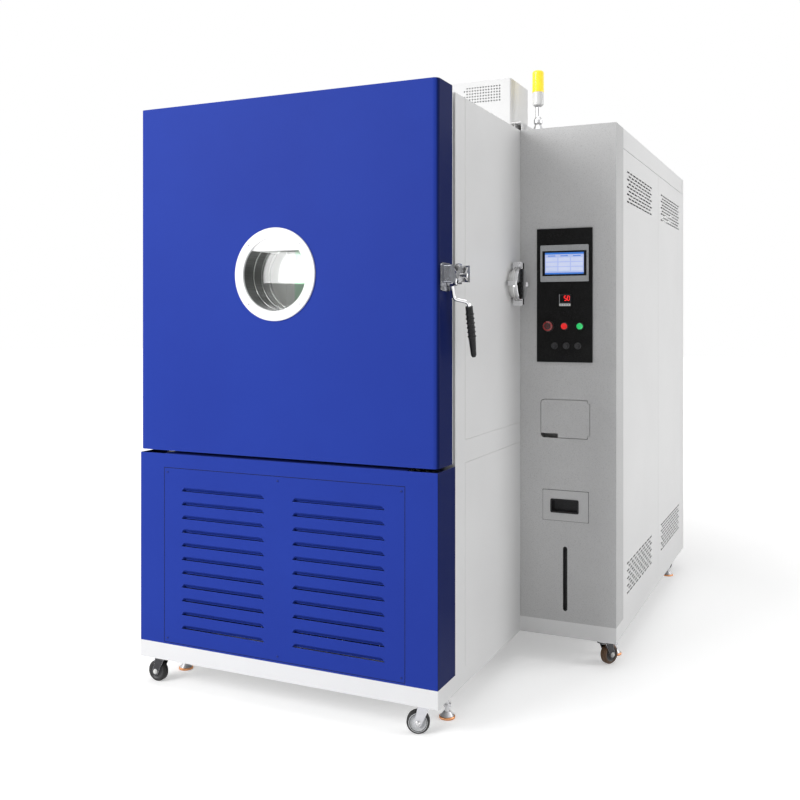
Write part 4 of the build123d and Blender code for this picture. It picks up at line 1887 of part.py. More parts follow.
# Ribbed grip over the end of the arm
GRIP_RADIUS = 12.0
GRIP_RIBS = 6
GRIP_RIB_PITCH = 15.0
GRIP_RIB_START = 22.0
GRIP_RIB_WIDTH = 8.0
GRIP_RIB_HEIGHT = 2.5
GRIP_TAPER = 3.0
GRIP_END_CONE = 6.0
grip_plane = Plane(origin=GRIP_TOP, x_dir=GRIP_AXIS, z_dir=(1, 0, 0))
grip_outline = [(GRIP_SOCKET, 0), (GRIP_SOCKET, ARM_RADIUS + SEAT_GAP), (0, ARM_RADIUS + SEAT_GAP), (0, GRIP_RADIUS)]
for rib in range(GRIP_RIBS):
    rib_start = GRIP_RIB_START + GRIP_RIB_PITCH * rib
    grip_outline += [
        (rib_start, GRIP_RADIUS),
        (rib_start + GRIP_RIB_WIDTH / 2, GRIP_RADIUS + GRIP_RIB_HEIGHT),
        (rib_start + GRIP_RIB_WIDTH, GRIP_RADIUS),
    ]
grip_outline += [
    (GRIP_AXIS.length - GRIP_END_CONE, GRIP_RADIUS - GRIP_TAPER),
    (GRIP_AXIS.length, GRIP_RADIUS - GRIP_TAPER - GRIP_END_CONE / 2),
    (GRIP_AXIS.length, 0),
]
with BuildPart() as latch_grip:
    with BuildSketch(grip_plane):
        with BuildLine():
            Polyline(*grip_outline, close=True)
        make_face()
    revolve(axis=Axis(GRIP_TOP, GRIP_AXIS))
finish(latch_grip, "latch_grip")

# Keeper on the cabinet's front frame: plate, two ears and the roller between them
KEEPER_FRONT = 155.0
KEEPER_BACK = 196.0
KEEPER_BOTTOM = 1458.0
KEEPER_TOP = 1526.0
ROLLER_FROM_FRONT = 172.0
ROLLER_UP = 1486.0
ROLLER_RADIUS = 8.0
with BuildPart() as latch_keeper:
    with BuildSketch(side_plane(X_INNER)):
        panel_outline(Y_FRONT + KEEPER_FRONT, Y_FRONT + KEEPER_BACK, KEEPER_BOTTOM, KEEPER_TOP, 4.0)
    extrude(amount=LATCH_PLATE)
    with BuildSketch(side_plane(X_INNER)):
        panel_outline(
            Y_FRONT + ROLLER_FROM_FRONT + ROLLER_RADIUS + 2.0,
            Y_FRONT + KEEPER_BACK,
            KEEPER_BOTTOM + 6.0,
            KEEPER_TOP - 6.0,
            2.0,
        )
    extrude(amount=LATCH_OUT)
    with BuildSketch(side_plane(X_INNER + LATCH_OUT - EAR_THICKNESS)):
        with BuildSketch(mode=Mode.PRIVATE) as keeper_ends:
            with Locations((Y_FRONT + ROLLER_FROM_FRONT, ROLLER_UP)):
                Circle(ROLLER_RADIUS + 2.0)
            with Locations((Y_FRONT + KEEPER_BACK - 5.0, (KEEPER_BOTTOM + KEEPER_TOP) / 2)):
                Rectangle(10.0, KEEPER_TOP - KEEPER_BOTTOM - 16.0)
        make_hull(keeper_ends.sketch.edges())
    extrude(amount=EAR_THICKNESS)
    with BuildSketch(side_plane(X_INNER)):
        with Locations((Y_FRONT + ROLLER_FROM_FRONT, ROLLER_UP)):
            Circle(ROLLER_RADIUS)
    extrude(amount=LATCH_OUT)
finish(latch_keeper, "latch_keeper")
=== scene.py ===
import math
from collections import namedtuple

import bmesh
import bpy
from mathutils import Matrix, Vector


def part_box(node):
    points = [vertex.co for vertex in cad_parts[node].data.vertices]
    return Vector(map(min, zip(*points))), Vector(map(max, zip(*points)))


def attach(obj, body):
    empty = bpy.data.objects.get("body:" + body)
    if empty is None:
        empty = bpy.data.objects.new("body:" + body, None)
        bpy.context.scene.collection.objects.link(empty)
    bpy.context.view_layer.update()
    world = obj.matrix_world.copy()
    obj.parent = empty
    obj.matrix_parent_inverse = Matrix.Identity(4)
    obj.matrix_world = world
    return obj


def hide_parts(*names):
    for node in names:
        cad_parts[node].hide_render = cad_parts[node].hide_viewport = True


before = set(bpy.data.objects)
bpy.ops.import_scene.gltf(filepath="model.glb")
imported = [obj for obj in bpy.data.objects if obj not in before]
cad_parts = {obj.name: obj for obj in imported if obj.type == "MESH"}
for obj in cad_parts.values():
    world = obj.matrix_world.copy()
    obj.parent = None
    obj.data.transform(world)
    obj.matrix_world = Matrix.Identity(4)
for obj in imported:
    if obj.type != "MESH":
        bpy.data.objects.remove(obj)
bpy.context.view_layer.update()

MM = 0.001

# Camera of the photograph
camera_data = bpy.data.cameras.new("studio_camera")
camera = bpy.data.objects.new("studio_camera", camera_data)
bpy.context.scene.collection.objects.link(camera)
bpy.context.scene.camera = camera
camera.location = (1.57075, -4.07045, 1.34429)
camera.rotation_euler = (math.radians(90.0), 0.0, math.radians(24.79))
camera_data.lens = 42.99
camera_data.sensor_width = 36.0
camera_data.shift_y = -0.102


# Boxes of the frame's nodes, in millimetres as all sizes and places of the pieces are
Extent = namedtuple("Extent", "low high middle")


def extent(node_name):
    """The low corner, high corner and middle of a node."""
    low_corner, high_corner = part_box(node_name)
    return Extent(low_corner / MM, high_corner / MM, (low_corner + high_corner) / (2 * MM))


base = extent("base_frame")
housing = extent("lower_housing")
louvre = extent("louvre_panel")
door = extent("door_shell")
bezel = extent("window_bezel")
panes = extent("window_panes")
control = extent("control_front")
panel = extent("operator_panel")

# Where a finish changes on one piece, in metres as the shaders read it
BEZEL_RING = 7.0
LAMP_HEIGHT = 77.0
FRONT_PANE_REACH = 12.0
# Where the green painted reflection on the front pane starts, from the pane's right end
REFLECTION_START, REFLECTION_END = 84.0, 78.0
COLLAR_HEIGHT = 52.0
FINE_CHANGE = 0.0005
RING_BACK = (bezel.low.y + BEZEL_RING) * MM
LAMP_BOTTOM = (bezel.high.z - LAMP_HEIGHT) * MM
FRONT_PANE_BACK = (panes.low.y + FRONT_PANE_REACH) * MM
REFLECTION_EDGE = ((panes.high.x - REFLECTION_START) * MM, (panes.high.x - REFLECTION_END) * MM)
COLLAR_BOTTOM = (extent("beacon_stem").high.z - COLLAR_HEIGHT) * MM

# Sockets of a Mix node that mixes colours
MIX_FACTOR, MIX_FIRST, MIX_SECOND, MIX_COLOUR = 0, 6, 7, 2


# Node groups that more than one finish uses
def new_group(name, inputs, outputs):
    """An empty shader node group with float, colour or vector sockets."""
    tree = bpy.data.node_groups.new(name, "ShaderNodeTree")
    for label, kind, value in inputs:
        socket = tree.interface.new_socket(label, in_out="INPUT", socket_type=kind)
        socket.default_value = value
    for label, kind in outputs:
        tree.interface.new_socket(label, in_out="OUTPUT", socket_type=kind)
    return tree, tree.nodes.new("NodeGroupInput"), tree.nodes.new("NodeGroupOutput")


def add_node(tree, kind, **values):
    """A node with its plain settings and its unlinked socket values."""
    node = tree.nodes.new(kind)
    for label, value in values.items():
        if hasattr(node, label):
            setattr(node, label, value)
        else:
            node.inputs[label.replace("_", " ")].default_value = value
    return node


def ranged(tree, value, **limits):
    """A value fitted from one range to another and held at its ends."""
    span = add_node(tree, "ShaderNodeMapRange", **limits)
    tree.links.new(value, span.inputs["Value"])
    return span.outputs[0]


def combined(tree, operation, first, second):
    """Two values by one plain operation: each is a socket or a plain number."""
    node = add_node(tree, "ShaderNodeMath", operation=operation)
    for socket, value in zip(node.inputs, (first, second)):
        if isinstance(value, float):
            socket.default_value = value
        else:
            tree.links.new(value, socket)
    return node.outputs[0]


def mixed(tree, mask, first, second):
    """A colour between two by a mask: each is a socket or a plain colour."""
    mix = add_node(tree, "ShaderNodeMix", data_type="RGBA")
    tree.links.new(mask, mix.inputs[MIX_FACTOR])
    for socket, value in ((mix.inputs[MIX_FIRST], first), (mix.inputs[MIX_SECOND], second)):
        if isinstance(value, tuple):
            socket.default_value = value
        else:
            tree.links.new(value, socket)
    return mix.outputs[MIX_COLOUR]


def object_noise(tree, scale_socket, detail):
    """Noise on Object coordinates, with its scale from a group input."""
    coordinates = add_node(tree, "ShaderNodeTexCoord")
    noise = add_node(tree, "ShaderNodeTexNoise", Detail=detail, Roughness=0.55)
    tree.links.new(coordinates.outputs["Object"], noise.inputs["Vector"])
    tree.links.new(scale_socket, noise.inputs["Scale"])
    return noise.outputs["Fac"]


def make_orange_peel():
    """Height of the fine dimples of a sprayed coat."""
    tree, given, result = new_group(
        "orange_peel",
        [("Scale", "NodeSocketFloat", 900.0), ("Depth", "NodeSocketFloat", 1.0)],
        [("Height", "NodeSocketFloat")],
    )
    wave_share = 0.12
    dimples = object_noise(tree, given.outputs["Scale"], 2.0)
    broad = combined(tree, "MULTIPLY", given.outputs["Scale"], wave_share)
    waves = object_noise(tree, broad, 1.0)
    total = combined(tree, "ADD", dimples, waves)
    deep = combined(tree, "MULTIPLY", total, given.outputs["Depth"])
    tree.links.new(deep, result.inputs["Height"])
    return tree


def make_coat_tone():
    """Colour of a coat that varies softly and carries fine flecks."""
    tree, given, result = new_group(
        "coat_tone",
        [
            ("Colour", "NodeSocketColor", (0.8, 0.8, 0.8, 1)),
            ("Shade", "NodeSocketColor", (0.7, 0.7, 0.7, 1)),
            ("Fleck", "NodeSocketColor", (1, 1, 1, 1)),
            ("Fleck amount", "NodeSocketFloat", 0.1),
            ("Scale", "NodeSocketFloat", 3.0),
            ("Fleck scale", "NodeSocketFloat", 700.0),
        ],
        [("Colour", "NodeSocketColor"), ("Fleck", "NodeSocketFloat")],
    )
    cloud = object_noise(tree, given.outputs["Scale"], 3.0)
    patches = ranged(tree, cloud, From_Min=0.35, From_Max=0.68)
    coat = mixed(tree, patches, given.outputs["Colour"], given.outputs["Shade"])
    grains = object_noise(tree, given.outputs["Fleck scale"], 0.0)
    sharp = ranged(tree, grains, From_Min=0.62, From_Max=0.74)
    amount = combined(tree, "MULTIPLY", sharp, given.outputs["Fleck amount"])
    flecked = mixed(tree, amount, coat, given.outputs["Fleck"])
    tree.links.new(flecked, result.inputs["Colour"])
    tree.links.new(amount, result.inputs["Fleck"])
    return tree


def make_edge_mask():
    """1 along outer and inner edges, 0 on flat faces."""
    tree, given, result = new_group(
        "edge_mask",
        [("Width", "NodeSocketFloat", 0.003)],
        [("Edge", "NodeSocketFloat")],
    )
    bevel = add_node(tree, "ShaderNodeBevel", samples=4)
    geometry = add_node(tree, "ShaderNodeNewGeometry")
    tree.links.new(given.outputs["Width"], bevel.inputs["Radius"])
    dot = add_node(tree, "ShaderNodeVectorMath", operation="DOT_PRODUCT")
    tree.links.new(bevel.outputs["Normal"], dot.inputs[0])
    tree.links.new(geometry.outputs["Normal"], dot.inputs[1])
    mask = ranged(tree, dot.outputs["Value"], From_Min=0.995, From_Max=0.80)
    tree.links.new(mask, result.inputs["Edge"])
    return tree


def make_brushed_grain():
    """Height and tone of a directional grain, stretched along one axis."""
    tree, given, result = new_group(
        "brushed_grain",
        [
            ("Stretch", "NodeSocketVector", (4.0, 400.0, 400.0)),
            ("Depth", "NodeSocketFloat", 1.0),
        ],
        [("Height", "NodeSocketFloat"), ("Tone", "NodeSocketFloat")],
    )
    coordinates = add_node(tree, "ShaderNodeTexCoord")
    stretch = add_node(tree, "ShaderNodeVectorMath", operation="MULTIPLY")
    tree.links.new(coordinates.outputs["Object"], stretch.inputs[0])
    tree.links.new(given.outputs["Stretch"], stretch.inputs[1])
    noise = add_node(tree, "ShaderNodeTexNoise", Scale=1.0, Detail=4.0, Roughness=0.7)
    tree.links.new(stretch.outputs[0], noise.inputs["Vector"])
    deep = combined(tree, "MULTIPLY", noise.outputs["Fac"], given.outputs["Depth"])
    tree.links.new(deep, result.inputs["Height"])
    tree.links.new(noise.outputs["Fac"], result.inputs["Tone"])
    return tree


def make_dust():
    """Mask of dust that lies on faces that look up, in soft patches."""
    tree, given, result = new_group(
        "settled_dust",
        [("Amount", "NodeSocketFloat", 0.3), ("Scale", "NodeSocketFloat", 6.0)],
        [("Dust", "NodeSocketFloat")],
    )
    geometry = add_node(tree, "ShaderNodeNewGeometry")
    up = add_node(tree, "ShaderNodeSeparateXYZ")
    tree.links.new(geometry.outputs["Normal"], up.inputs[0])
    facing = ranged(tree, up.outputs["Z"], From_Min=0.3, From_Max=0.95)
    patches = object_noise(tree, given.outputs["Scale"], 5.0)
    lying = combined(tree, "MULTIPLY", facing, patches)
    scaled = combined(tree, "MULTIPLY", lying, given.outputs["Amount"])
    tree.links.new(scaled, result.inputs["Dust"])
    return tree


ORANGE_PEEL = make_orange_peel()
COAT_TONE = make_coat_tone()
EDGE_MASK = make_edge_mask()
BRUSHED_GRAIN = make_brushed_grain()
SETTLED_DUST = make_dust()


DUST_COLOUR = (0.62, 0.61, 0.58, 1)
# Pale colour of the painted highlight along the edges of bare metal
PALE_EDGE_HIGHLIGHT = (0.86, 0.86, 0.87, 1)


def start_finish(name, **shader_values):
    """A new material with its Principled shader and the shader's plain values."""
    material = bpy.data.materials.new(name)
    material.use_nodes = True
    shader = material.node_tree.nodes["Principled BSDF"]
    for label, value in shader_values.items():
        shader.inputs[label.replace("_", " ")].default_value = value
    return material, material.node_tree, shader


def place_group(tree, group, **values):
    """A group node in a material, with its own values."""
    node = tree.nodes.new("ShaderNodeGroup")
    node.node_tree = group
    for label, value in values.items():
        node.inputs[label.replace("_", " ")].default_value = value
    return node


def bump_from(tree, shader, height, strength, distance):
    """Feeds the shader's Normal from a height."""
    bump = add_node(tree, "ShaderNodeBump", Strength=strength, Distance=distance)
    tree.links.new(height, bump.inputs["Height"])
    tree.links.new(bump.outputs["Normal"], shader.inputs["Normal"])


def vary_roughness(tree, shader, mask, low, high):
    """Roughness between two values by a mask."""
    tree.links.new(ranged(tree, mask, To_Min=low, To_Max=high), shader.inputs["Roughness"])


def past(tree, axis, start, end):
    """0 before a place on the part's X, Y or Z and 1 after it, in metres."""
    place = add_node(tree, "ShaderNodeTexCoord")
    parts = add_node(tree, "ShaderNodeSeparateXYZ")
    tree.links.new(place.outputs["Object"], parts.inputs[0])
    return ranged(tree, parts.outputs[axis], From_Min=start, From_Max=end)


def painted_side_shade(tree, front_colour, side_shade_colour):
    """The coat's colour, and a darker painted shade on the narrow faces that look sideways."""
    place = add_node(tree, "ShaderNodeTexCoord")
    parts = add_node(tree, "ShaderNodeSeparateXYZ")
    tree.links.new(place.outputs["Normal"], parts.inputs[0])
    sideways = add_node(tree, "ShaderNodeMath", operation="ABSOLUTE")
    tree.links.new(parts.outputs["X"], sideways.inputs[0])
    mask = ranged(tree, sideways.outputs[0], From_Min=0.55, From_Max=0.85)
    return mixed(tree, mask, front_colour, side_shade_colour)


def powder_coat(name, colour, shade, fleck, fleck_amount, rough, gloss, edge_highlight_colour=None, dust=0.25, side_shade=None):
    """A sprayed coat: soft tone, flecks, orange peel, a painted highlight along the edges, painted shade
    on the faces that look sideways when a colour for it is given, and a little dust.
    """
    material, tree, shader = start_finish(name, IOR=1.5, Specular_IOR_Level=gloss)
    tone = place_group(
        tree,
        COAT_TONE,
        Colour=(*colour, 1),
        Shade=(*shade, 1),
        Fleck=(*fleck, 1),
        Fleck_amount=fleck_amount,
        Scale=2.2,
        Fleck_scale=650.0,
    )
    # Lighter colour along the edges: a painted highlight.
    edge_highlight = 0.35
    edges = place_group(tree, EDGE_MASK, Width=0.0025)
    edge_highlight_amount = combined(tree, "MULTIPLY", edges.outputs["Edge"], edge_highlight)
    coat = mixed(tree, edge_highlight_amount, tone.outputs["Colour"], (*(edge_highlight_colour or colour), 1))
    # Darker navy on the faces that look sideways: painted shade.
    if side_shade:
        coat = painted_side_shade(tree, coat, (*side_shade, 1))
    lying = place_group(tree, SETTLED_DUST, Amount=dust, Scale=7.0)
    dusty = mixed(tree, lying.outputs["Dust"], coat, DUST_COLOUR)
    tree.links.new(dusty, shader.inputs["Base Color"])
    vary_roughness(tree, shader, tone.outputs["Fleck"], low=rough, high=rough + 0.12)
    dimples = place_group(tree, ORANGE_PEEL, Scale=700.0, Depth=1.0)
    bump_from(tree, shader, dimples.outputs["Height"], strength=0.12, distance=0.0006)
    return material


def brushed_metal(name, colour, dark, rough, stretch, bump=0.10):
    """Bare sheet metal with a directional grain, slightly darker patches and a painted highlight along
    its edges.
    """
    material, tree, shader = start_finish(name, Metallic=1.0)
    grain = place_group(tree, BRUSHED_GRAIN, Stretch=stretch, Depth=1.0)
    toned = mixed(tree, grain.outputs["Tone"], (*dark, 1), (*colour, 1))
    edges = place_group(tree, EDGE_MASK, Width=0.0015)
    # Lighter colour along the edges: a painted highlight.
    edge_highlit_metal = mixed(tree, edges.outputs["Edge"], toned, PALE_EDGE_HIGHLIGHT)
    tree.links.new(edge_highlit_metal, shader.inputs["Base Color"])
    vary_roughness(tree, shader, grain.outputs["Tone"], low=rough - 0.06, high=rough + 0.10)
    bump_from(tree, shader, grain.outputs["Height"], strength=bump, distance=0.0004)
    return material


def plated_metal(name, colour, rough, smudge):
    """Bright plated metal with faint smudges and cast ripples."""
    material, tree, shader = start_finish(name, Metallic=1.0)
    tone = place_group(
        tree,
        COAT_TONE,
        Colour=(*colour, 1),
        Shade=tuple(0.82 * c for c in colour) + (1,),
        Fleck=(0.3, 0.3, 0.31, 1),
        Fleck_amount=0.25,
        Scale=28.0,
        Fleck_scale=420.0,
    )
    tree.links.new(tone.outputs["Colour"], shader.inputs["Base Color"])
    patches = place_group(tree, ORANGE_PEEL, Scale=60.0, Depth=0.5)
    vary_roughness(tree, shader, patches.outputs["Height"], low=rough, high=rough + smudge)
    ripples = place_group(tree, ORANGE_PEEL, Scale=160.0, Depth=1.0)
    bump_from(tree, shader, ripples.outputs["Height"], strength=0.12, distance=0.0008)
    return material


def moulded(name, colour, shade, rough, grain=0.2, scale=500.0, gloss=0.35):
    """Moulded plastic or rubber with a fine spark-eroded grain and a pale painted highlight along its
    edges.
    """
    material, tree, shader = start_finish(name, IOR=1.5, Specular_IOR_Level=gloss)
    tone = place_group(
        tree,
        COAT_TONE,
        Colour=(*colour, 1),
        Shade=(*shade, 1),
        Fleck=tuple(min(1.0, 1.6 * c + 0.03) for c in colour) + (1,),
        Fleck_amount=0.5,
        Scale=18.0,
        Fleck_scale=scale,
    )
    edges = place_group(tree, EDGE_MASK, Width=0.0012)
    # Paler colour along the edges: a painted highlight.
    edge_highlight_colour = tuple(min(1.0, 1.5 * c + 0.05) for c in colour) + (1,)
    edge_highlit_plastic = mixed(tree, edges.outputs["Edge"], tone.outputs["Colour"], edge_highlight_colour)
    tree.links.new(edge_highlit_plastic, shader.inputs["Base Color"])
    vary_roughness(tree, shader, tone.outputs["Fleck"], low=rough, high=rough + 0.15)
    dimples = place_group(tree, ORANGE_PEEL, Scale=scale, Depth=1.0)
    bump_from(tree, shader, dimples.outputs["Height"], strength=grain, distance=0.0004)
    return material


def glossy_plastic(name, colour, shade, rough=0.12, glow=0.0):
    """A glossy coloured lens or button cap, lit where it has a glow."""
    material, tree, shader = start_finish(name, IOR=1.5, Coat_Weight=0.6, Coat_Roughness=0.04)
    tone = place_group(
        tree,
        COAT_TONE,
        Colour=(*colour, 1),
        Shade=(*shade, 1),
        Fleck=(*colour, 1),
        Fleck_amount=0.1,
        Scale=60.0,
        Fleck_scale=900.0,
    )
    tree.links.new(tone.outputs["Colour"], shader.inputs["Base Color"])
    vary_roughness(tree, shader, tone.outputs["Fleck"], low=rough, high=rough + 0.1)
    if glow:
        tree.links.new(tone.outputs["Colour"], shader.inputs["Emission Color"])
        shader.inputs["Emission Strength"].default_value = glow
    return material


def window_glass(name):
    """Clear glass with soft smears, and a green tint on the right of the front pane that is a painted
    reflection.
    """
    material, tree, shader = start_finish(name, IOR=1.46, Transmission_Weight=1.0)
    right_part = past(tree, "X", *REFLECTION_EDGE)
    front_pane = past(tree, "Y", FRONT_PANE_BACK, FRONT_PANE_BACK - 2 * FINE_CHANGE)
    green_reflection = combined(tree, "MULTIPLY", right_part, front_pane)
    tint = mixed(tree, green_reflection, (0.97, 0.985, 0.975, 1), (0.60, 0.87, 0.68, 1))
    tree.links.new(tint, shader.inputs["Base Color"])
    smears = place_group(tree, ORANGE_PEEL, Scale=30.0, Depth=0.5)
    vary_roughness(tree, shader, smears.outputs["Height"], low=0.0, high=0.03)
    return material


def bezel_metal(name):
    """The window's frame: a pale satin ring and lamp lens, and a dark drawn sleeve behind."""
    material, tree, shader = start_finish(name, IOR=1.5, Emission_Strength=0.4)
    grain = place_group(tree, BRUSHED_GRAIN, Stretch=(400.0, 5.0, 400.0), Depth=1.0)
    over_lamp = past(tree, "Z", LAMP_BOTTOM - FINE_CHANGE, LAMP_BOTTOM)
    behind_ring = past(tree, "Y", RING_BACK, RING_BACK + 2 * FINE_CHANGE)
    lamp = combined(tree, "MULTIPLY", over_lamp, behind_ring)
    sleeve = combined(tree, "SUBTRACT", behind_ring, lamp)
    drawn = mixed(tree, grain.outputs["Tone"], (0.05, 0.05, 0.052, 1), (0.34, 0.34, 0.34, 1))
    satin = mixed(tree, grain.outputs["Tone"], (0.84, 0.84, 0.84, 1), (0.90, 0.90, 0.90, 1))
    tree.links.new(mixed(tree, sleeve, satin, drawn), shader.inputs["Base Color"])
    tree.links.new(sleeve, shader.inputs["Metallic"])
    lit = mixed(tree, lamp, (0, 0, 0, 1), (1, 1, 1, 1))
    tree.links.new(lit, shader.inputs["Emission Color"])
    vary_roughness(tree, shader, grain.outputs["Tone"], low=0.22, high=0.42)
    bump_from(tree, shader, grain.outputs["Height"], strength=0.08, distance=0.0003)
    return material


def beacon_stalk(name):
    """The beacon's stalk: a white moulded collar on a bright plated tube."""
    material, tree, shader = start_finish(name, IOR=1.5)
    collar = past(tree, "Z", COLLAR_BOTTOM - FINE_CHANGE, COLLAR_BOTTOM)
    patches = place_group(tree, ORANGE_PEEL, Scale=160.0, Depth=0.5)
    plated = mixed(tree, patches.outputs["Height"], (0.52, 0.52, 0.53, 1), (0.74, 0.74, 0.75, 1))
    tree.links.new(mixed(tree, collar, plated, (0.80, 0.80, 0.79, 1)), shader.inputs["Base Color"])
    tree.links.new(combined(tree, "SUBTRACT", 1.0, collar), shader.inputs["Metallic"])
    vary_roughness(tree, shader, patches.outputs["Height"], low=0.15, high=0.32)
    bump_from(tree, shader, patches.outputs["Height"], strength=0.08, distance=0.0006)
    return material


def lit_area(name, colour, shade, strength):
    """A lit part of the display, with a faint pixel grain."""
    material, tree, shader = start_finish(name, Roughness=0.3)
    tone = place_group(
        tree,
        COAT_TONE,
        Colour=(*colour, 1),
        Shade=(*shade, 1),
        Fleck=(*shade, 1),
        Fleck_amount=0.3,
        Scale=25.0,
        Fleck_scale=1500.0,
    )
    tree.links.new(tone.outputs["Colour"], shader.inputs["Base Color"])
    tree.links.new(tone.outputs["Colour"], shader.inputs["Emission Color"])
    shader.inputs["Emission Strength"].default_value = strength
    return material


WHITE_COAT = powder_coat(
    "white_coat",
    colour=(0.84, 0.84, 0.84),
    shade=(0.81, 0.81, 0.81),
    fleck=(0.70, 0.70, 0.70),
    fleck_amount=0.3,
    rough=0.46,
    gloss=0.3,
)
# Grey of the control cabinet's front, flap and drawer: partly a light grey paint, partly painted shade of
# the white coat where the main cabinet shades that front.
GREY_AND_SHADE_COAT = powder_coat(
    "grey_and_shade_coat",
    colour=(0.63, 0.63, 0.63),
    shade=(0.57, 0.57, 0.57),
    fleck=(0.36, 0.36, 0.36),
    fleck_amount=0.6,
    rough=0.48,
    gloss=0.3,
)
BLUE_COAT = powder_coat(
    "blue_coat",
    colour=(0.022, 0.050, 0.345),
    shade=(0.021, 0.046, 0.325),
    fleck=(0.03, 0.07, 0.46),
    fleck_amount=0.25,
    rough=0.42,
    gloss=0.04,
    # Pale blue of the painted highlight along the edges
    edge_highlight_colour=(0.05, 0.10, 0.50),
    dust=0.05,
    # Navy of the painted shade on the faces that look sideways
    side_shade=(0.002, 0.009, 0.085),
)
SHEET_GRAIN = (5.0, 420.0, 420.0)
LINER_GRAIN = (300.0, 300.0, 4.0)
SPANGLE = (90.0, 90.0, 90.0)
STAINLESS = brushed_metal("stainless_sheet", (0.66, 0.66, 0.65), (0.50, 0.50, 0.49), 0.30, SHEET_GRAIN)
LINER_STEEL = brushed_metal("liner_steel", (0.88, 0.88, 0.87), (0.78, 0.78, 0.77), 0.46, LINER_GRAIN)
BEZEL_METAL = bezel_metal("bezel_metal")
BEACON_STALK = beacon_stalk("beacon_stalk")
ZINC = brushed_metal("zinc_plate", (0.72, 0.72, 0.73), (0.50, 0.50, 0.52), 0.34, SPANGLE, bump=0.25)
BLACK_ZINC = brushed_metal(
    "black_zinc", (0.10, 0.10, 0.105), (0.035, 0.035, 0.037), 0.34, SPANGLE, bump=0.2
)
CHROME = plated_metal("chrome_plate", (0.76, 0.76, 0.77), rough=0.06, smudge=0.10)
DARK_CHROME = plated_metal("dark_chrome", (0.32, 0.33, 0.36), rough=0.10, smudge=0.10)
COPPER = plated_metal("copper_plate", (0.86, 0.40, 0.18), rough=0.20, smudge=0.2)
BLACK_PLASTIC = moulded(
    "black_plastic", (0.010, 0.010, 0.011), (0.014, 0.014, 0.016), rough=0.36, gloss=0.25
)
BLACK_PANEL = moulded(
    "black_panel_film",
    (0.006, 0.006, 0.006),
    (0.009, 0.009, 0.009),
    rough=0.26,
    grain=0.06,
    scale=900.0,
    gloss=0.10,
)
DARK_PLASTIC = moulded("dark_plastic", (0.018, 0.018, 0.02), (0.026, 0.026, 0.028), rough=0.34)
BROWN_TREAD = moulded(
    "brown_tread", (0.16, 0.085, 0.045), (0.11, 0.06, 0.03), rough=0.5, grain=0.4, scale=260.0
)
GREY_PLASTIC = moulded("grey_plastic", (0.36, 0.37, 0.38), (0.33, 0.34, 0.35), rough=0.40)
SILVER_PLASTIC = moulded(
    "silver_plastic", (0.42, 0.43, 0.44), (0.38, 0.39, 0.40), rough=0.36, grain=0.12, scale=800.0
)
WHITE_PLASTIC = moulded("white_plastic", (0.78, 0.78, 0.76), (0.74, 0.74, 0.72), rough=0.32, grain=0.1)
TREAD_RUBBER = moulded(
    "tread_rubber", (0.016, 0.016, 0.017), (0.024, 0.023, 0.022), rough=0.62, grain=0.4, scale=260.0
)
SEAL_RUBBER = moulded("seal_rubber", (0.020, 0.020, 0.022), (0.028, 0.028, 0.03), rough=0.55)
# Navy of the strip that is painted shade in the gap round the louvre panel
NAVY_GAP_SHADE = moulded("navy_gap_shade", (0.004, 0.008, 0.06), (0.006, 0.01, 0.07), rough=0.6, gloss=0.05)
FOAM = moulded("foam_slab", (0.74, 0.66, 0.42), (0.68, 0.60, 0.38), rough=0.85, grain=0.8, scale=180.0)
GREY_HUB = moulded("wheel_hub", (0.60, 0.61, 0.62), (0.52, 0.53, 0.54), rough=0.38, grain=0.1)
DARK_HUB = moulded("dark_hub", (0.03, 0.03, 0.032), (0.045, 0.045, 0.047), rough=0.38, grain=0.1)
RED_CAP = glossy_plastic("red_cap", (0.75, 0.012, 0.010), (0.60, 0.010, 0.010), glow=0.5)
DARK_RED_CAP = glossy_plastic("dark_red_cap", (0.30, 0.006, 0.006), (0.22, 0.005, 0.005))
GREEN_CAP = glossy_plastic("green_cap", (0.02, 0.62, 0.16), (0.02, 0.52, 0.13), glow=0.5)
YELLOW_LENS = glossy_plastic(
    "yellow_lens", (0.96, 0.76, 0.01), (0.92, 0.66, 0.01), rough=0.18, glow=0.35
)
GLASS = window_glass("window_glass")
SCREEN_BLUE = lit_area("screen_blue", (0.03, 0.17, 0.66), (0.04, 0.22, 0.74), strength=0.35)
SCREEN_PALE = lit_area("screen_pale", (0.52, 0.60, 0.92), (0.46, 0.56, 0.90), strength=0.35)
SCREEN_WHITE = lit_area("screen_white", (0.66, 0.72, 0.95), (0.60, 0.67, 0.93), strength=0.38)
LED_RED = lit_area("led_red", (0.95, 0.02, 0.02), (0.80, 0.01, 0.01), strength=1.3)

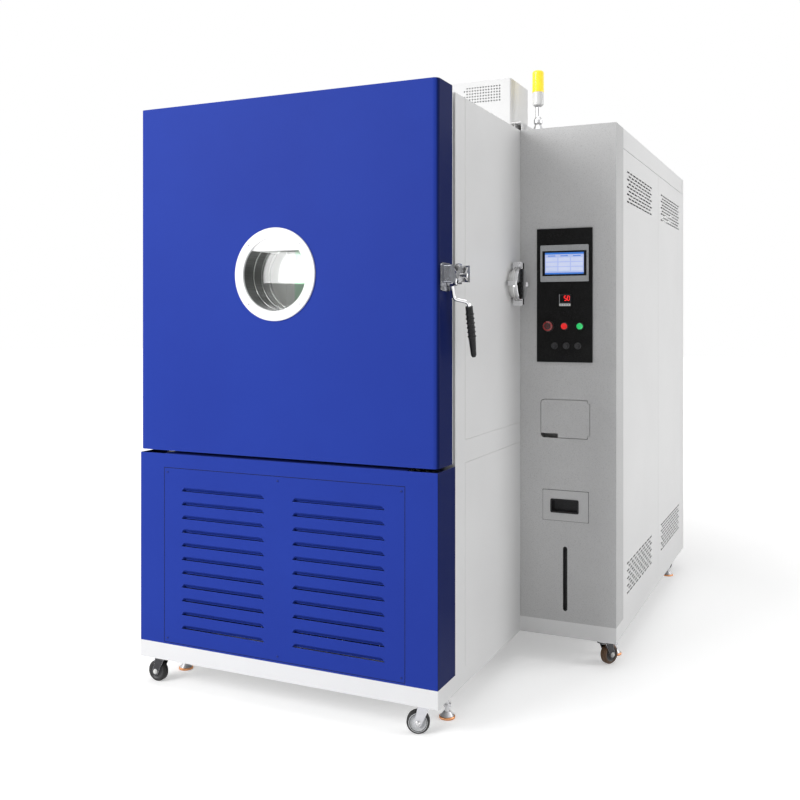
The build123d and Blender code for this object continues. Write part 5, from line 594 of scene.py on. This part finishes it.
FINISHES = {
    WHITE_COAT: (
        "base_frame front_frame side_panels roof_panels motor_hood cable_duct control_side_panels "
        "rear_panels cabinet_posts"
    ),
    GREY_AND_SHADE_COAT: "control_front control_recesses access_flap tank_drawer",
    BLUE_COAT: "door_shell lower_housing louvre_panel",
    STAINLESS: "port_tube",
    BEZEL_METAL: "window_bezel",
    BEACON_STALK: "beacon_stem",
    LINER_STEEL: "chamber_liner air_baffle door_liner wire_shelf conditioning_coils fan_impeller",
    CHROME: "latch_lever latch_keeper port_cover",
    DARK_CHROME: "latch_base",
    ZINC: (
        "hinge_frame_leaves hinge_door_leaves levelling_feet refrigeration_unit fan_motor "
        "caster_fork_front_right"
    ),
    BLACK_ZINC: (
        "caster_fork_front_left caster_fork_control_front caster_fork_rear_left caster_fork_rear_right"
    ),
    TREAD_RUBBER: (
        "caster_wheel_front_left caster_wheel_front_right caster_wheel_rear_left caster_wheel_rear_right"
    ),
    BROWN_TREAD: "caster_wheel_control_front",
    BLACK_PLASTIC: "latch_grip drawer_pull supply_gland condenser_fan limit_controller level_gauge",
    BLACK_PANEL: "operator_panel",
    GREY_PLASTIC: "electrical_gear",
    SILVER_PLASTIC: "touchscreen",
    SEAL_RUBBER: "door_seal",
    GLASS: "window_panes",
    FOAM: "insulation",
    DARK_RED_CAP: "estop_button",
    RED_CAP: "power_button",
    GREEN_CAP: "start_button",
    YELLOW_LENS: "beacon_lens",
}
for finish, names in FINISHES.items():
    for node_name in names.split():
        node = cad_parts[node_name]
        node.data.materials.clear()
        node.data.materials.append(finish)


# Tools for the new pieces
FRONT = Matrix.Rotation(math.radians(90.0), 4, "X")
REAR = Matrix.Rotation(math.radians(-90.0), 4, "X")
RIGHT = Matrix.Rotation(math.radians(90.0), 4, "Y")
LEFT = Matrix.Rotation(math.radians(-90.0), 4, "Y")
UPRIGHT = Matrix.Identity(4)


def at(x, y, z, facing=UPRIGHT):
    """Where a shape goes, in millimetres, with its own Z turned to face a side."""
    return Matrix.Translation((x * MM, y * MM, z * MM)) @ facing


def on_face(box, across, up, proud, facing=UPRIGHT):
    """A place on the front of a node, from the middle and the foremost face of its box."""
    return at(box.middle.x + across, box.low.y - proud, box.middle.z + up, facing)


def turned(bm, profile, place, steps, slot=0):
    """Adds a solid spun from radius and height pairs, in millimetres, about its own Z."""
    before = set(bm.faces)
    verts = [bm.verts.new((r * MM, 0, z * MM)) for r, z in profile]
    edges = [bm.edges.new(pair) for pair in zip(verts, verts[1:])]
    bmesh.ops.spin(
        bm,
        geom=verts + edges,
        cent=(0, 0, 0),
        axis=(0, 0, 1),
        dvec=(0, 0, 0),
        angle=math.tau,
        steps=steps,
        use_merge=True,
    )
    made = [f for f in bm.faces if f not in before]
    corners = list({v for f in made for v in f.verts})
    bmesh.ops.remove_doubles(bm, verts=corners, dist=1e-6)
    made = [f for f in bm.faces if f not in before]
    bmesh.ops.recalc_face_normals(bm, faces=made)
    corners = list({v for f in made for v in f.verts})
    bmesh.ops.transform(bm, matrix=place, verts=corners)
    for face in made:
        face.material_index = slot
        face.smooth = True


def slab(bm, size, place, edge=0.0, slot=0):
    """Adds a bevelled block of a size in millimetres about its place."""
    before = set(bm.faces)
    grown = place @ Matrix.Diagonal((size[0] * MM, size[1] * MM, size[2] * MM, 1.0))
    made = bmesh.ops.create_cube(bm, size=1.0, matrix=grown)
    if edge:
        edges = list({e for v in made["verts"] for e in v.link_edges})
        bmesh.ops.bevel(
            bm, geom=edges, offset=edge * MM, affect="EDGES", segments=2, profile=0.5, material=-1
        )
    for face in bm.faces:
        if face not in before:
            face.material_index = slot


def piece(name, bm, materials, body, replaced=()):
    """Turns a bmesh into an object that rides on a body."""
    mesh = bpy.data.meshes.new(name)
    bm.to_mesh(mesh)
    bm.free()
    made = bpy.data.objects.new(name, mesh)
    bpy.context.scene.collection.objects.link(made)
    for material in materials:
        mesh.materials.append(material)
    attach(made, body)
    if replaced:
        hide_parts(*replaced)


def screw(bm, place, radius, height):
    """A pan head with a dark cross on it, a little turned."""
    head = [
        (0, 0),
        (radius, 0),
        (radius, 0.45 * height),
        (0.82 * radius, 0.8 * height),
        (0.45 * radius, height),
        (0, height),
    ]
    turned(bm, head, place, 16)
    for turn in (20.0, 110.0):
        bar = at(0.0, 0.0, height, Matrix.Rotation(math.radians(turn), 4, "Z"))
        slab(bm, (1.2 * radius, 0.28 * radius, 0.3), place @ bar, slot=1)


def hex_bolt(bm, place):
    """A hexagon head on its washer, with chamfered corners."""
    radius, height, washer = 4.0, 3.0, 1.0
    turned(bm, [(0, 0), (1.35 * radius, 0), (1.35 * radius, washer), (0, washer)], place, 20)
    head = bmesh.ops.create_cone(
        bm,
        cap_ends=True,
        segments=6,
        radius1=radius * MM,
        radius2=radius * MM,
        depth=height * MM,
        matrix=place @ at(0.0, 0.0, washer + height / 2),
    )
    edges = list({e for v in head["verts"] for e in v.link_edges})
    bmesh.ops.bevel(bm, geom=edges, offset=0.5 * MM, affect="EDGES", segments=1, profile=0.5, material=-1)


# Screws of the window's bezel
SCREW_CIRCLE = 143.0
shape = bmesh.new()
for corner in (45.0, 135.0, 225.0, 315.0):
    across = SCREW_CIRCLE * math.cos(math.radians(corner))
    up = SCREW_CIRCLE * math.sin(math.radians(corner))
    screw(shape, on_face(bezel, across, up, 0.0, FRONT), radius=3.6, height=1.2)
piece("bezel_screws", shape, [ZINC, BLACK_PLASTIC], "door")

# Display of the touchscreen: dark border, pale page, blue bars and white fields
SCREEN_RECESS = 1.5
PAGE_WIDTH = 153.0
PAGE_HEIGHT = 84.0
FIELD_PITCH_ACROSS = 50.0
FIELD_PITCH_DOWN = 18.5
TOP_FIELD = 15.0
TITLE_BARS = 29.0
screen = extent("touchscreen")
shape = bmesh.new()
slab(shape, (175.0, 0.6, 98.0), on_face(screen, 0.0, 0.0, 0.3 - SCREEN_RECESS), slot=0)
slab(shape, (PAGE_WIDTH, 0.3, PAGE_HEIGHT), on_face(screen, 0.0, 0.0, 0.7 - SCREEN_RECESS), slot=1)
slab(shape, (PAGE_WIDTH, 0.3, 7.0), on_face(screen, 0.0, 38.5, 0.9 - SCREEN_RECESS), slot=2)
slab(shape, (PAGE_WIDTH, 0.3, 6.0), on_face(screen, 0.0, -39.0, 0.9 - SCREEN_RECESS), slot=2)
for column in (-1, 0, 1):
    across = FIELD_PITCH_ACROSS * column
    slab(shape, (30.0, 0.2, 3.0), on_face(screen, across, TITLE_BARS, 0.95 - SCREEN_RECESS), slot=2)
    for row in range(3):
        up = TOP_FIELD - FIELD_PITCH_DOWN * row
        slab(shape, (46.0, 0.2, 15.0), on_face(screen, across, up, 0.95 - SCREEN_RECESS), slot=3)
piece("display_face", shape, [BLACK_PANEL, SCREEN_PALE, SCREEN_BLUE, SCREEN_WHITE], "cabinet")

# Face of the limit controller: a dark window with two red digits, a pale strip and its keys
SEGMENTS = {
    "top": (0.0, 1.0, True),
    "middle": (0.0, 0.0, True),
    "bottom": (0.0, -1.0, True),
    "upper_left": (-0.5, 0.5, False),
    "upper_right": (0.5, 0.5, False),
    "lower_left": (-0.5, -0.5, False),
    "lower_right": (0.5, -0.5, False),
}
DIGITS = {
    "5": ("top", "middle", "bottom", "upper_left", "lower_right"),
    "0": ("top", "bottom", "upper_left", "upper_right", "lower_left", "lower_right"),
}
DIGIT_WIDTH = 8.0
HALF_DIGIT = 8.6
DIGIT_PITCH = 12.5
FIRST_DIGIT = 1.0
DIGITS_UP = 8.0
KEY_ROW = -17.5
FIRST_KEY = -14.5
KEY_PITCH = 9.5
limiter = extent("limit_controller")
shape = bmesh.new()
slab(shape, (39.0, 0.5, 26.5), on_face(limiter, 0.0, 6.0, -1.2), slot=0)
for place_index, digit in enumerate("50"):
    for segment in DIGITS[digit]:
        segment_across, segment_up, lies = SEGMENTS[segment]
        across = FIRST_DIGIT + DIGIT_PITCH * place_index + DIGIT_WIDTH * segment_across
        up = DIGITS_UP + HALF_DIGIT * segment_up
        size = (6.5, 0.3, 2.2) if lies else (2.2, 0.3, 8.0)
        slab(shape, size, on_face(limiter, across, up, -0.8), slot=1)
slab(shape, (44.0, 0.8, 9.0), on_face(limiter, 0.0, KEY_ROW, 0.4), 0.3, slot=2)
slab(shape, (2.0, 0.8, 36.0), on_face(limiter, -21.5, 5.0, 0.4), 0.3, slot=3)
for key in range(4):
    slab(shape, (6.5, 1.6, 5.0), on_face(limiter, FIRST_KEY + KEY_PITCH * key, KEY_ROW, 1.0), 0.4, slot=3)
piece("limiter_face", shape, [BLACK_PANEL, LED_RED, WHITE_PLASTIC, GREY_PLASTIC], "cabinet")

# Rings round the three buttons, wide enough for the pressed buttons to pass
RING_BORES = {"estop_button": 19.5, "power_button": 12.5, "start_button": 12.5}
RING_WIDTH = 2.2
RING_SUNK = -0.2
shape = bmesh.new()
for button, bore in RING_BORES.items():
    centre = extent(button).middle
    ring = [
        (bore, RING_SUNK),
        (bore, 0.8),
        (bore + 0.8, 1.0),
        (bore + RING_WIDTH, 0.4),
        (bore + RING_WIDTH, RING_SUNK),
        (bore, RING_SUNK),
    ]
    turned(shape, ring, at(centre.x, panel.low.y, centre.z, FRONT), 40)
piece("button_rings", shape, [DARK_PLASTIC], "cabinet")

# Face of the emergency stop: a dark disc with a red ring and three red spokes on it
estop_middle = on_face(extent("estop_button"), 0.0, 0.0, 0.0, FRONT)
shape = bmesh.new()
turned(shape, [(0, 0.3), (11.6, 0.3), (12.0, 0.1), (12.0, 0.0)], estop_middle, 40)
turned(shape, [(5.2, 0.3), (5.2, 0.6), (7.0, 0.6), (7.0, 0.3)], estop_middle, 36, slot=1)
for turn in (90.0, 210.0, 330.0):
    spoke = Matrix.Rotation(math.radians(turn), 4, "Z") @ at(3.2, 0.0, 0.45)
    slab(shape, (3.0, 1.4, 0.3), estop_middle @ spoke, slot=1)
piece("estop_face", shape, [BLACK_PLASTIC, DARK_RED_CAP], "estop")

# Caps of the three sockets under the buttons
SOCKET_MIDDLE = 7.0
SOCKET_PITCH = 46.0
SOCKETS_UP = 64.0
SOCKET_CAP = [
    (0, 1.6),
    (3.0, 1.6),
    (8.5, 0.6),
    (9.0, 2.2),
    (11.0, 2.2),
    (12.2, 1.0),
    (12.2, -4.8),
    (13.6, -4.8),
    (13.6, -5.0),
]
shape = bmesh.new()
for socket_step in (-1, 0, 1):
    centre_x = panel.middle.x + SOCKET_MIDDLE + SOCKET_PITCH * socket_step
    turned(shape, SOCKET_CAP, at(centre_x, panel.low.y, panel.low.z + SOCKETS_UP, FRONT), 32)
piece("socket_caps", shape, [DARK_PLASTIC], "cabinet")


def gap_shade_frame(name, node_name, y_front, outside, inside, material):
    """A thin dark strip on the sheet in front, along the outline of a node: painted shade in the gap
    round it.
    """
    thick = 0.25
    outline = extent(node_name)
    left, right = outline.low.x, outline.high.x
    bottom, top = outline.low.z, outline.high.z
    strip = outside + inside
    y_middle = y_front - thick / 2
    shade_strips = bmesh.new()
    for z in (bottom - outside + strip / 2, top + outside - strip / 2):
        slab(shade_strips, (right - left + 2 * outside, thick, strip), at(outline.middle.x, y_middle, z))
    for x in (left - outside + strip / 2, right + outside - strip / 2):
        slab(shade_strips, (strip, thick, top - bottom - 2 * inside), at(x, y_middle, outline.middle.z))
    piece(name, shade_strips, [material], "cabinet")


# Dark strips that show as dark lines round the tank drawer and the louvre panel: painted shade in their
# gaps
gap_shade_frame("drawer_gap_shade", "tank_drawer", control.low.y, 1.6, 3.0, SEAL_RUBBER)
gap_shade_frame("louvre_gap_shade", "louvre_panel", housing.low.y, 2.0, 0.4, NAVY_GAP_SHADE)

# Dark filter mat behind the perforated grid of the motor hood
MAT_WIDTH = 176.0
MAT_HEIGHT = 94.0
MAT_THICK = 2.0
MAT_FROM_END = 34.0
MAT_FROM_TOP = 14.0
MAT_BEHIND = 3.0
hood = extent("motor_hood")
mat_x = hood.high.x - MAT_FROM_END - MAT_WIDTH / 2
mat_z = hood.high.z - MAT_FROM_TOP - MAT_HEIGHT / 2
shape = bmesh.new()
slab(shape, (MAT_WIDTH, MAT_THICK, MAT_HEIGHT), at(mat_x, hood.low.y + MAT_BEHIND, mat_z), 0.5)
piece("hood_filter", shape, [BLACK_PLASTIC], "cabinet")

# Screws of the louvre panel
LOUVRE_SCREW_SIDE = 12.5
LOUVRE_SCREW_END = 15.0
shape = bmesh.new()
for x in (louvre.low.x + LOUVRE_SCREW_SIDE, louvre.middle.x, louvre.high.x - LOUVRE_SCREW_SIDE):
    for z in (louvre.low.z + LOUVRE_SCREW_END, louvre.high.z - LOUVRE_SCREW_END):
        screw(shape, at(x, louvre.low.y, z, FRONT), radius=4.5, height=1.8)
piece("louvre_screws", shape, [BLUE_COAT, BLACK_PLASTIC], "cabinet")

# Screws of the three door hinges, on both sides of the hinge line
HINGE_PITCH = 470.0
LEAF_THICK = 6.0
SCREWS_ALONG = (46.0, 80.0)
SCREWS_UP = (28.0, 92.0)
frame_leaves = extent("hinge_frame_leaves")
door_leaves = extent("hinge_door_leaves")
hinge_line = (frame_leaves.low.y + door_leaves.high.y) / 2
leaf_face = frame_leaves.high.x - LEAF_THICK
for name, body, side in (("frame_hinge_screws", "cabinet", 1), ("door_hinge_screws", "door", -1)):
    shape = bmesh.new()
    for hinge in range(3):
        hinge_bottom = frame_leaves.low.z + HINGE_PITCH * hinge
        for along in SCREWS_ALONG:
            for up in SCREWS_UP:
                place = at(leaf_face, hinge_line + side * along, hinge_bottom + up, LEFT)
                screw(shape, place, radius=5.0, height=2.4)
    piece(name, shape, [ZINC, BLACK_PLASTIC], body)

# Latch: a bolt clear of the lever's swing, and the cap of the pivot
PLATE_THICK = 6.0
PIVOT_CAP = 3.0
PIVOT_BEHIND_DOOR = 74.0
PIVOT_UP = 30.0
latch = extent("latch_base")
shape = bmesh.new()
hex_bolt(shape, at(latch.low.x + PLATE_THICK, latch.high.y - 7.5, latch.high.z - 10.0, RIGHT))
pivot = at(latch.high.x - PIVOT_CAP, door.low.y + PIVOT_BEHIND_DOOR, latch.low.z + PIVOT_UP, RIGHT)
turned(shape, [(0, 0), (11, 0), (11, 2.0), (9, PIVOT_CAP), (0, PIVOT_CAP)], pivot, 24)
piece("latch_bolts", shape, [CHROME], "door")

# Keeper: two bolts on its plate, and the cap of the roller's pin
KEEPER_BOLT_INSET = 8.0
ROLLER_ALONG = 17.0
ROLLER_UP = 28.0
keeper = extent("latch_keeper")
shape = bmesh.new()
for up in (keeper.low.z + KEEPER_BOLT_INSET, keeper.high.z - KEEPER_BOLT_INSET):
    hex_bolt(shape, at(keeper.low.x + PLATE_THICK, keeper.low.y + KEEPER_BOLT_INSET, up, RIGHT))
roller = at(keeper.high.x, keeper.low.y + ROLLER_ALONG, keeper.low.z + ROLLER_UP, RIGHT)
turned(shape, [(0, 0), (9.5, 0), (9.5, 2.0), (8, 3.0), (0, 3.0)], roller, 24)
piece("keeper_bolts", shape, [CHROME], "cabinet")

# Casters: hub faces and axle nuts on both sides of each wheel, by the way the wheel trails
TRAILS = {
    "front_left": 180.0,
    "front_right": 200.0,
    "control_front": 60.0,
    "rear_left": 120.0,
    "rear_right": 250.0,
}
HUB_FACE = [
    (6.0, 15.2),
    (11.0, 15.2),
    (12.5, 14.0),
    (14.0, 10.6),
    (24.0, 10.4),
    (26.5, 13.6),
    (30.5, 14.3),
    (31.0, 14.0),
    (31.0, 9.0),
]
AXLE_NUT = [
    (0, 20.5),
    (0, 24.5),
    (4.5, 24.5),
    (6.5, 23.4),
    (6.5, 20.0),
    (9.5, 20.0),
    (9.5, 19.0),
    (0, 19.0),
]
for name, trail in TRAILS.items():
    centre = extent("caster_wheel_" + name).middle
    heading = Matrix.Rotation(math.radians(trail), 4, "Z")
    hub = bmesh.new()
    nuts = bmesh.new()
    for facing in (REAR, FRONT):
        place = at(*centre, heading @ facing)
        turned(hub, HUB_FACE, place, 40)
        turned(nuts, AXLE_NUT, place, 12)
    pale = name == "front_right"
    piece("hub_" + name, hub, [GREY_HUB if pale else DARK_HUB], "wheel_" + name)
    piece("axle_nuts_" + name, nuts, [CHROME if pale else WHITE_PLASTIC], "swivel_" + name)

# Levelling feet: copper plated rings on the pads
FOOT_INSET = 50.0
FOOT_FROM_END = 202.0
FOOT_RING = [(27.4, 0.6), (27.6, 6.6), (25.0, 8.6), (24.0, 8.6), (24.0, 0.6), (27.4, 0.6)]
left_feet = base.low.x + FOOT_INSET
right_feet = base.high.x - FOOT_INSET
front_feet = base.low.y + FOOT_FROM_END
rear_feet = base.high.y - FOOT_FROM_END
FEET = (
    (left_feet, front_feet),
    (housing.high.x - FOOT_INSET, front_feet),
    (right_feet, control.low.y + FOOT_FROM_END),
    (left_feet, rear_feet),
    (right_feet, rear_feet),
)
shape = bmesh.new()
for x, y in FEET:
    turned(shape, FOOT_RING, at(x, y, 0.0), 36)
piece("foot_rings", shape, [COPPER], "feet")

# Beacon lens: a smooth skin with a rounded crown
LENS_SKIN = [
    (0, 0.2),
    (23.4, 0.2),
    (23.9, 2.0),
    (23.4, 4.0),
    (23.4, 77.0),
    (22.4, 82.0),
    (18.0, 86.0),
    (10.0, 88.3),
    (0, 88.8),
]
lens = extent("beacon_lens")
shape = bmesh.new()
turned(shape, LENS_SKIN, at(lens.middle.x, lens.middle.y, lens.low.z), 48)
piece("beacon_cover", shape, [YELLOW_LENS], "cabinet", ["beacon_lens"])

# Floor, lamps and world
PAPER = (0.90, 0.90, 0.90, 1)
WHITE = (1, 1, 1, 1)
BLACK = (0, 0, 0, 1)
AMBIENT = 0.33


def background_rays(tree):
    """1 for rays that show the backdrop: from the camera, in mirrors and through glass."""
    path = add_node(tree, "ShaderNodeLightPath")
    shown = path.outputs["Is Camera Ray"]
    for label in ("Is Glossy Ray", "Is Transmission Ray"):
        shown = combined(tree, "MAXIMUM", shown, path.outputs[label])
    return shown


bpy.ops.mesh.primitive_plane_add(size=60.0, location=(0, 0, 0))
floor = bpy.context.object
floor.name = "studio_floor"
floor_finish, floor_tree, floor_shader = start_finish(
    "floor_paper", Roughness=0.9, Base_Color=PAPER, Emission_Color=WHITE, Specular_IOR_Level=0.0
)
spot = add_node(floor_tree, "ShaderNodeTexCoord")
distance = add_node(floor_tree, "ShaderNodeVectorMath", operation="LENGTH")
floor_tree.links.new(spot.outputs["Object"], distance.inputs[0])
glow = ranged(
    floor_tree, distance.outputs["Value"], From_Min=1.6, From_Max=5.0, To_Min=0.36, To_Max=0.85
)
seen_glow = combined(floor_tree, "MULTIPLY", glow, background_rays(floor_tree))
floor_tree.links.new(seen_glow, floor_shader.inputs["Emission Strength"])
floor.data.materials.append(floor_finish)


def area_lamp(name, location, target, size, energy):
    """A large soft lamp that looks at a point."""
    lamp_data = bpy.data.lights.new(name, "AREA")
    lamp_data.shape = "RECTANGLE"
    lamp_data.size = size[0]
    lamp_data.size_y = size[1]
    lamp_data.energy = energy
    lamp = bpy.data.objects.new(name, lamp_data)
    bpy.context.scene.collection.objects.link(lamp)
    lamp.location = location
    aim = Vector(target) - Vector(location)
    lamp.rotation_euler = aim.to_track_quat("-Z", "Y").to_euler()
    return lamp


area_lamp(
    "key_lamp", location=(-3.6, -6.6, 3.6), target=(0.0, -0.6, 1.0), size=(4.0, 4.0), energy=385.0
)
area_lamp("side_lamp", location=(6.0, 1.6, 2.6), target=(0.6, 0.0, 1.1), size=(3.0, 2.6), energy=102.0)
area_lamp("top_lamp", location=(0.3, -0.8, 6.0), target=(0.2, 0.0, 1.0), size=(5.0, 5.0), energy=85.0)
for name, height, energy in (("chamber_lamp", 1.92, 1.1), ("lower_chamber_lamp", 1.33, 1.3)):
    lamp = area_lamp(
        name, location=(-0.18, -0.62, height), target=(-0.18, -0.55, 0.5), size=(0.6, 0.4), energy=energy
    )
    lamp.visible_camera = False
    lamp.visible_transmission = False

# Black cards that only bright metal reflects: their place on the floor and their width
CARDS = ((-1.1, -5.0, 0.6), (0.7, -5.4, 0.4), (2.9, -3.3, 0.3), (-2.8, -3.8, 0.4))
CARD_HEIGHT = 3.4
CARD_MIDDLE = 1.6
card_finish = start_finish("black_card", Roughness=1.0, Base_Color=BLACK, Specular_IOR_Level=0.0)[0]
for x, y, width in CARDS:
    towards_part = Matrix.Rotation(math.atan2(y, x) + math.pi / 2, 4, "Z")
    standing = towards_part @ Matrix.Rotation(math.radians(90.0), 4, "X")
    grown = standing @ Matrix.Diagonal((width, CARD_HEIGHT, 1.0, 1.0))
    shape = bmesh.new()
    bmesh.ops.create_grid(
        shape,
        x_segments=1,
        y_segments=1,
        size=0.5,
        matrix=Matrix.Translation((x, y, CARD_MIDDLE)) @ grown,
    )
    mesh = bpy.data.meshes.new("black_card")
    shape.to_mesh(mesh)
    shape.free()
    mesh.materials.append(card_finish)
    card = bpy.data.objects.new("black_card", mesh)
    bpy.context.scene.collection.objects.link(card)
    card.visible_camera = False
    card.visible_diffuse = False
    card.visible_transmission = False
    card.visible_shadow = False

world = bpy.data.worlds.new("studio_world")
bpy.context.scene.world = world
world.use_nodes = True
background = world.node_tree.nodes["Background"]
brightness = ranged(world.node_tree, background_rays(world.node_tree), To_Min=AMBIENT, To_Max=1.0)
background.inputs["Color"].default_value = WHITE
world.node_tree.links.new(brightness, background.inputs["Strength"])

bpy.context.scene.view_settings.view_transform = "Standard"
